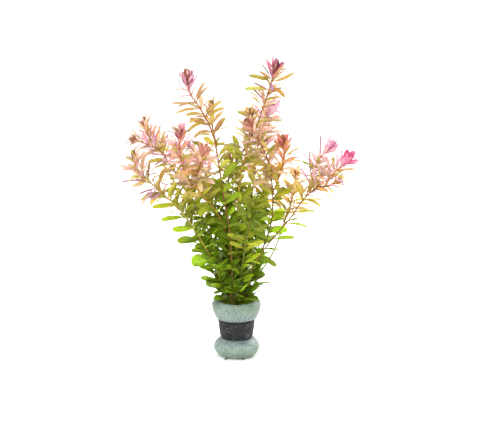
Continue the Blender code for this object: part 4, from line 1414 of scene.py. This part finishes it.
def stripSection(angle):
    # corners of the strip's rounded section at an angle from its inner end, with its dents
    climb = min(1.0, max(0.0, (angle - 360.0 + stripCut["rise"]) / stripCut["rise"]))
    lift = (stripCut["thickness"] + stripCut["gap"]) * climb
    outward = level(stripCut["start"] + angle)
    (lowZ, lowR), (highZ, highR) = stripCut["bottom"], stripCut["top"]
    edge = stripCut["rounding"] / (highZ - lowZ)
    outside = [(share, 0.0) for share in (edge, *stripCut["shares"], 1 - edge)]
    inside = [(1 - share, 1.0) for share, depth in outside]
    near, far = stripCut["edgeDepths"]
    corners = []
    for share, depth in [(0.0, near), *outside, (1.0, near), (1.0, far), *inside, (0.0, far)]:
        radius = lowR + (highR - lowR) * share - stripCut["thickness"] * depth + lift
        spot = outward * radius + Vector((0.0, 0.0, lowZ + (highZ - lowZ) * share))
        dent = lumps(spot, stripCut["dentSizes"], stripCut["dent"], stripCut["dentFine"])
        dent = min(stripCut["dentMost"], dent)
        ragged = 0.0
        if share in (0.0, 1.0):
            away = spot / stripCut["raggedSize"] + Vector((stripCut["raggedSeed"], 0.0, 0.0))
            ragged = noise.noise(away) * stripCut["ragged"]
        corners.append(spot + outward * dent + Vector((0.0, 0.0, ragged)))
    return corners


def makeStrip():
    bm = bmesh.new()
    face = startFace(bm, stripSection(0.0))
    sides = len(face.verts)
    for step in range(1, stripCut["steps"] + 1):
        face = pushFace(bm, face, stripSection(stripCut["turn"] * step / stripCut["steps"]))
    bmesh.ops.holes_fill(bm, edges=bm.edges[:], sides=sides)
    bmesh.ops.recalc_face_normals(bm, faces=bm.faces)
    piece = makePiece("lead-strip", bm, [leadFinish()], "weight_strip")
    piece.data.set_sharp_from_angle(angle=math.radians(stripCut["sharp"]))


# Cut ends under the foam, and root hairs

# label, heading, length and thickness of each end
cutEnds = (("left", 238.0, 3.6, 1.1), ("right", 291.0, 3.0, 0.9))
endCut = dict(
    sides=9, rings=(0.0, 0.15, 0.3, 0.45, 0.6, 0.75, 0.88, 1.0), fromMiddle=13.2, taper=0.22, uneven=0.05,
    tones=((0.0, (84, 96, 30)), (0.8, (150, 140, 70)), (1.0, (190, 176, 120))),
)
hairCut = dict(
    count=16, seed=77, sides=5, rings=8, radius=(0.07, 0.12), taper=0.6, length=(6.0, 17.0), lowest=47.0,
    highest=104.0, sag=(-0.3, 0.5), bow=0.4, reach=0.8, shares=(0.3, 0.65, 1.0), turn=20.0, searchStep=1.0,
)


def makeCutEnd(label, heading, length, thickness, material):
    # a stub of stem on the floor, slightly uneven, and paler towards its cut end
    rng = random.Random(label)
    aim = level(heading)
    other = aim.cross(upright)
    drawing = startDrawing({}, None)
    rings = []
    for share in endCut["rings"]:
        radius = thickness / 2 * (1.0 - endCut["taper"] * share + eitherWay(rng, endCut["uneven"]))
        spot = aim * (endCut["fromMiddle"] + length * share) + upright * (thickness / 2)
        rings.append((spot, upright, other, radius, linear(blend(endCut["tones"], share))))
    addTube(drawing["bm"], rings, endCut["sides"], drawing["tone"])
    bmesh.ops.recalc_face_normals(drawing["bm"], faces=drawing["bm"].faces)
    makePiece(f"cut-end-{label}", drawing["bm"], [material], f"stem_end_{label}")


def makeHairs(planned, material):
    # fine roots that bow out of the stems and sag
    rng = random.Random(hairCut["seed"])
    bm = bmesh.new()
    for i in range(hairCut["count"]):
        route = rng.choice(planned)["route"]
        height = rng.uniform(hairCut["lowest"], hairCut["highest"])
        spot, along, side, other = route.at(route.upTo(height, step=hairCut["searchStep"]))
        heading = rng.uniform(0.0, math.tau)
        out = side * math.cos(heading) + other * math.sin(heading)
        length = rng.uniform(*hairCut["length"])
        sag = rng.uniform(*hairCut["sag"])
        bow = eitherWay(rng, hairCut["bow"]) * length
        points = [spot]
        for share in hairCut["shares"]:
            drop = Vector((0.0, 0.0, -sag * length * share * share))
            reach = out * (length * share * hairCut["reach"])
            points.append(spot + reach + along.cross(out) * (bow * share * share) + drop)
        hair = Route(points, hairCut["turn"])
        thick = rng.uniform(*hairCut["radius"])
        rings = []
        for k in range(hairCut["rings"] + 1):
            where, ahead, left, up = hair.at(hair.length * k / hairCut["rings"])
            rings.append((where, left, up, thick * (1.0 - hairCut["taper"] * k / hairCut["rings"]), None))
        addTube(bm, rings, hairCut["sides"])
    bmesh.ops.recalc_face_normals(bm, faces=bm.faces)
    makePiece("root-hairs", bm, [material])


print("camera and light")
makeCamera()
makeStudio()

print("foam roll and lead strip")
makeFoam()
makeStrip()

print("shoots and leaves")
stemMaterial = stemFinish()
materials = [stemMaterial, leafFinish()]
corners = packedCorners()
templates = dict(
    small=bladeTemplate(bladeCut["rows"], bladeCut["columns"]),
    broad=bladeTemplate(bladeCut["broadRows"], bladeCut["broadColumns"]),
)
planned = [planShoot(name, own, seed) for seed, (name, own) in enumerate(shoots.items())]
planned += [planShoot(name, own, growth["branchSeed"] + i) for i, (name, own) in enumerate(branches.items())]
leafCount = sum(makeShoot(shoot, corners, templates, materials) for shoot in planned)
print("leaves found in the solids:", leafCount)

print("cut ends and root hairs")
for end in cutEnds:
    makeCutEnd(*end, stemMaterial)
makeHairs([shoot for shoot in planned if "ring" in shoot], rootFinish())
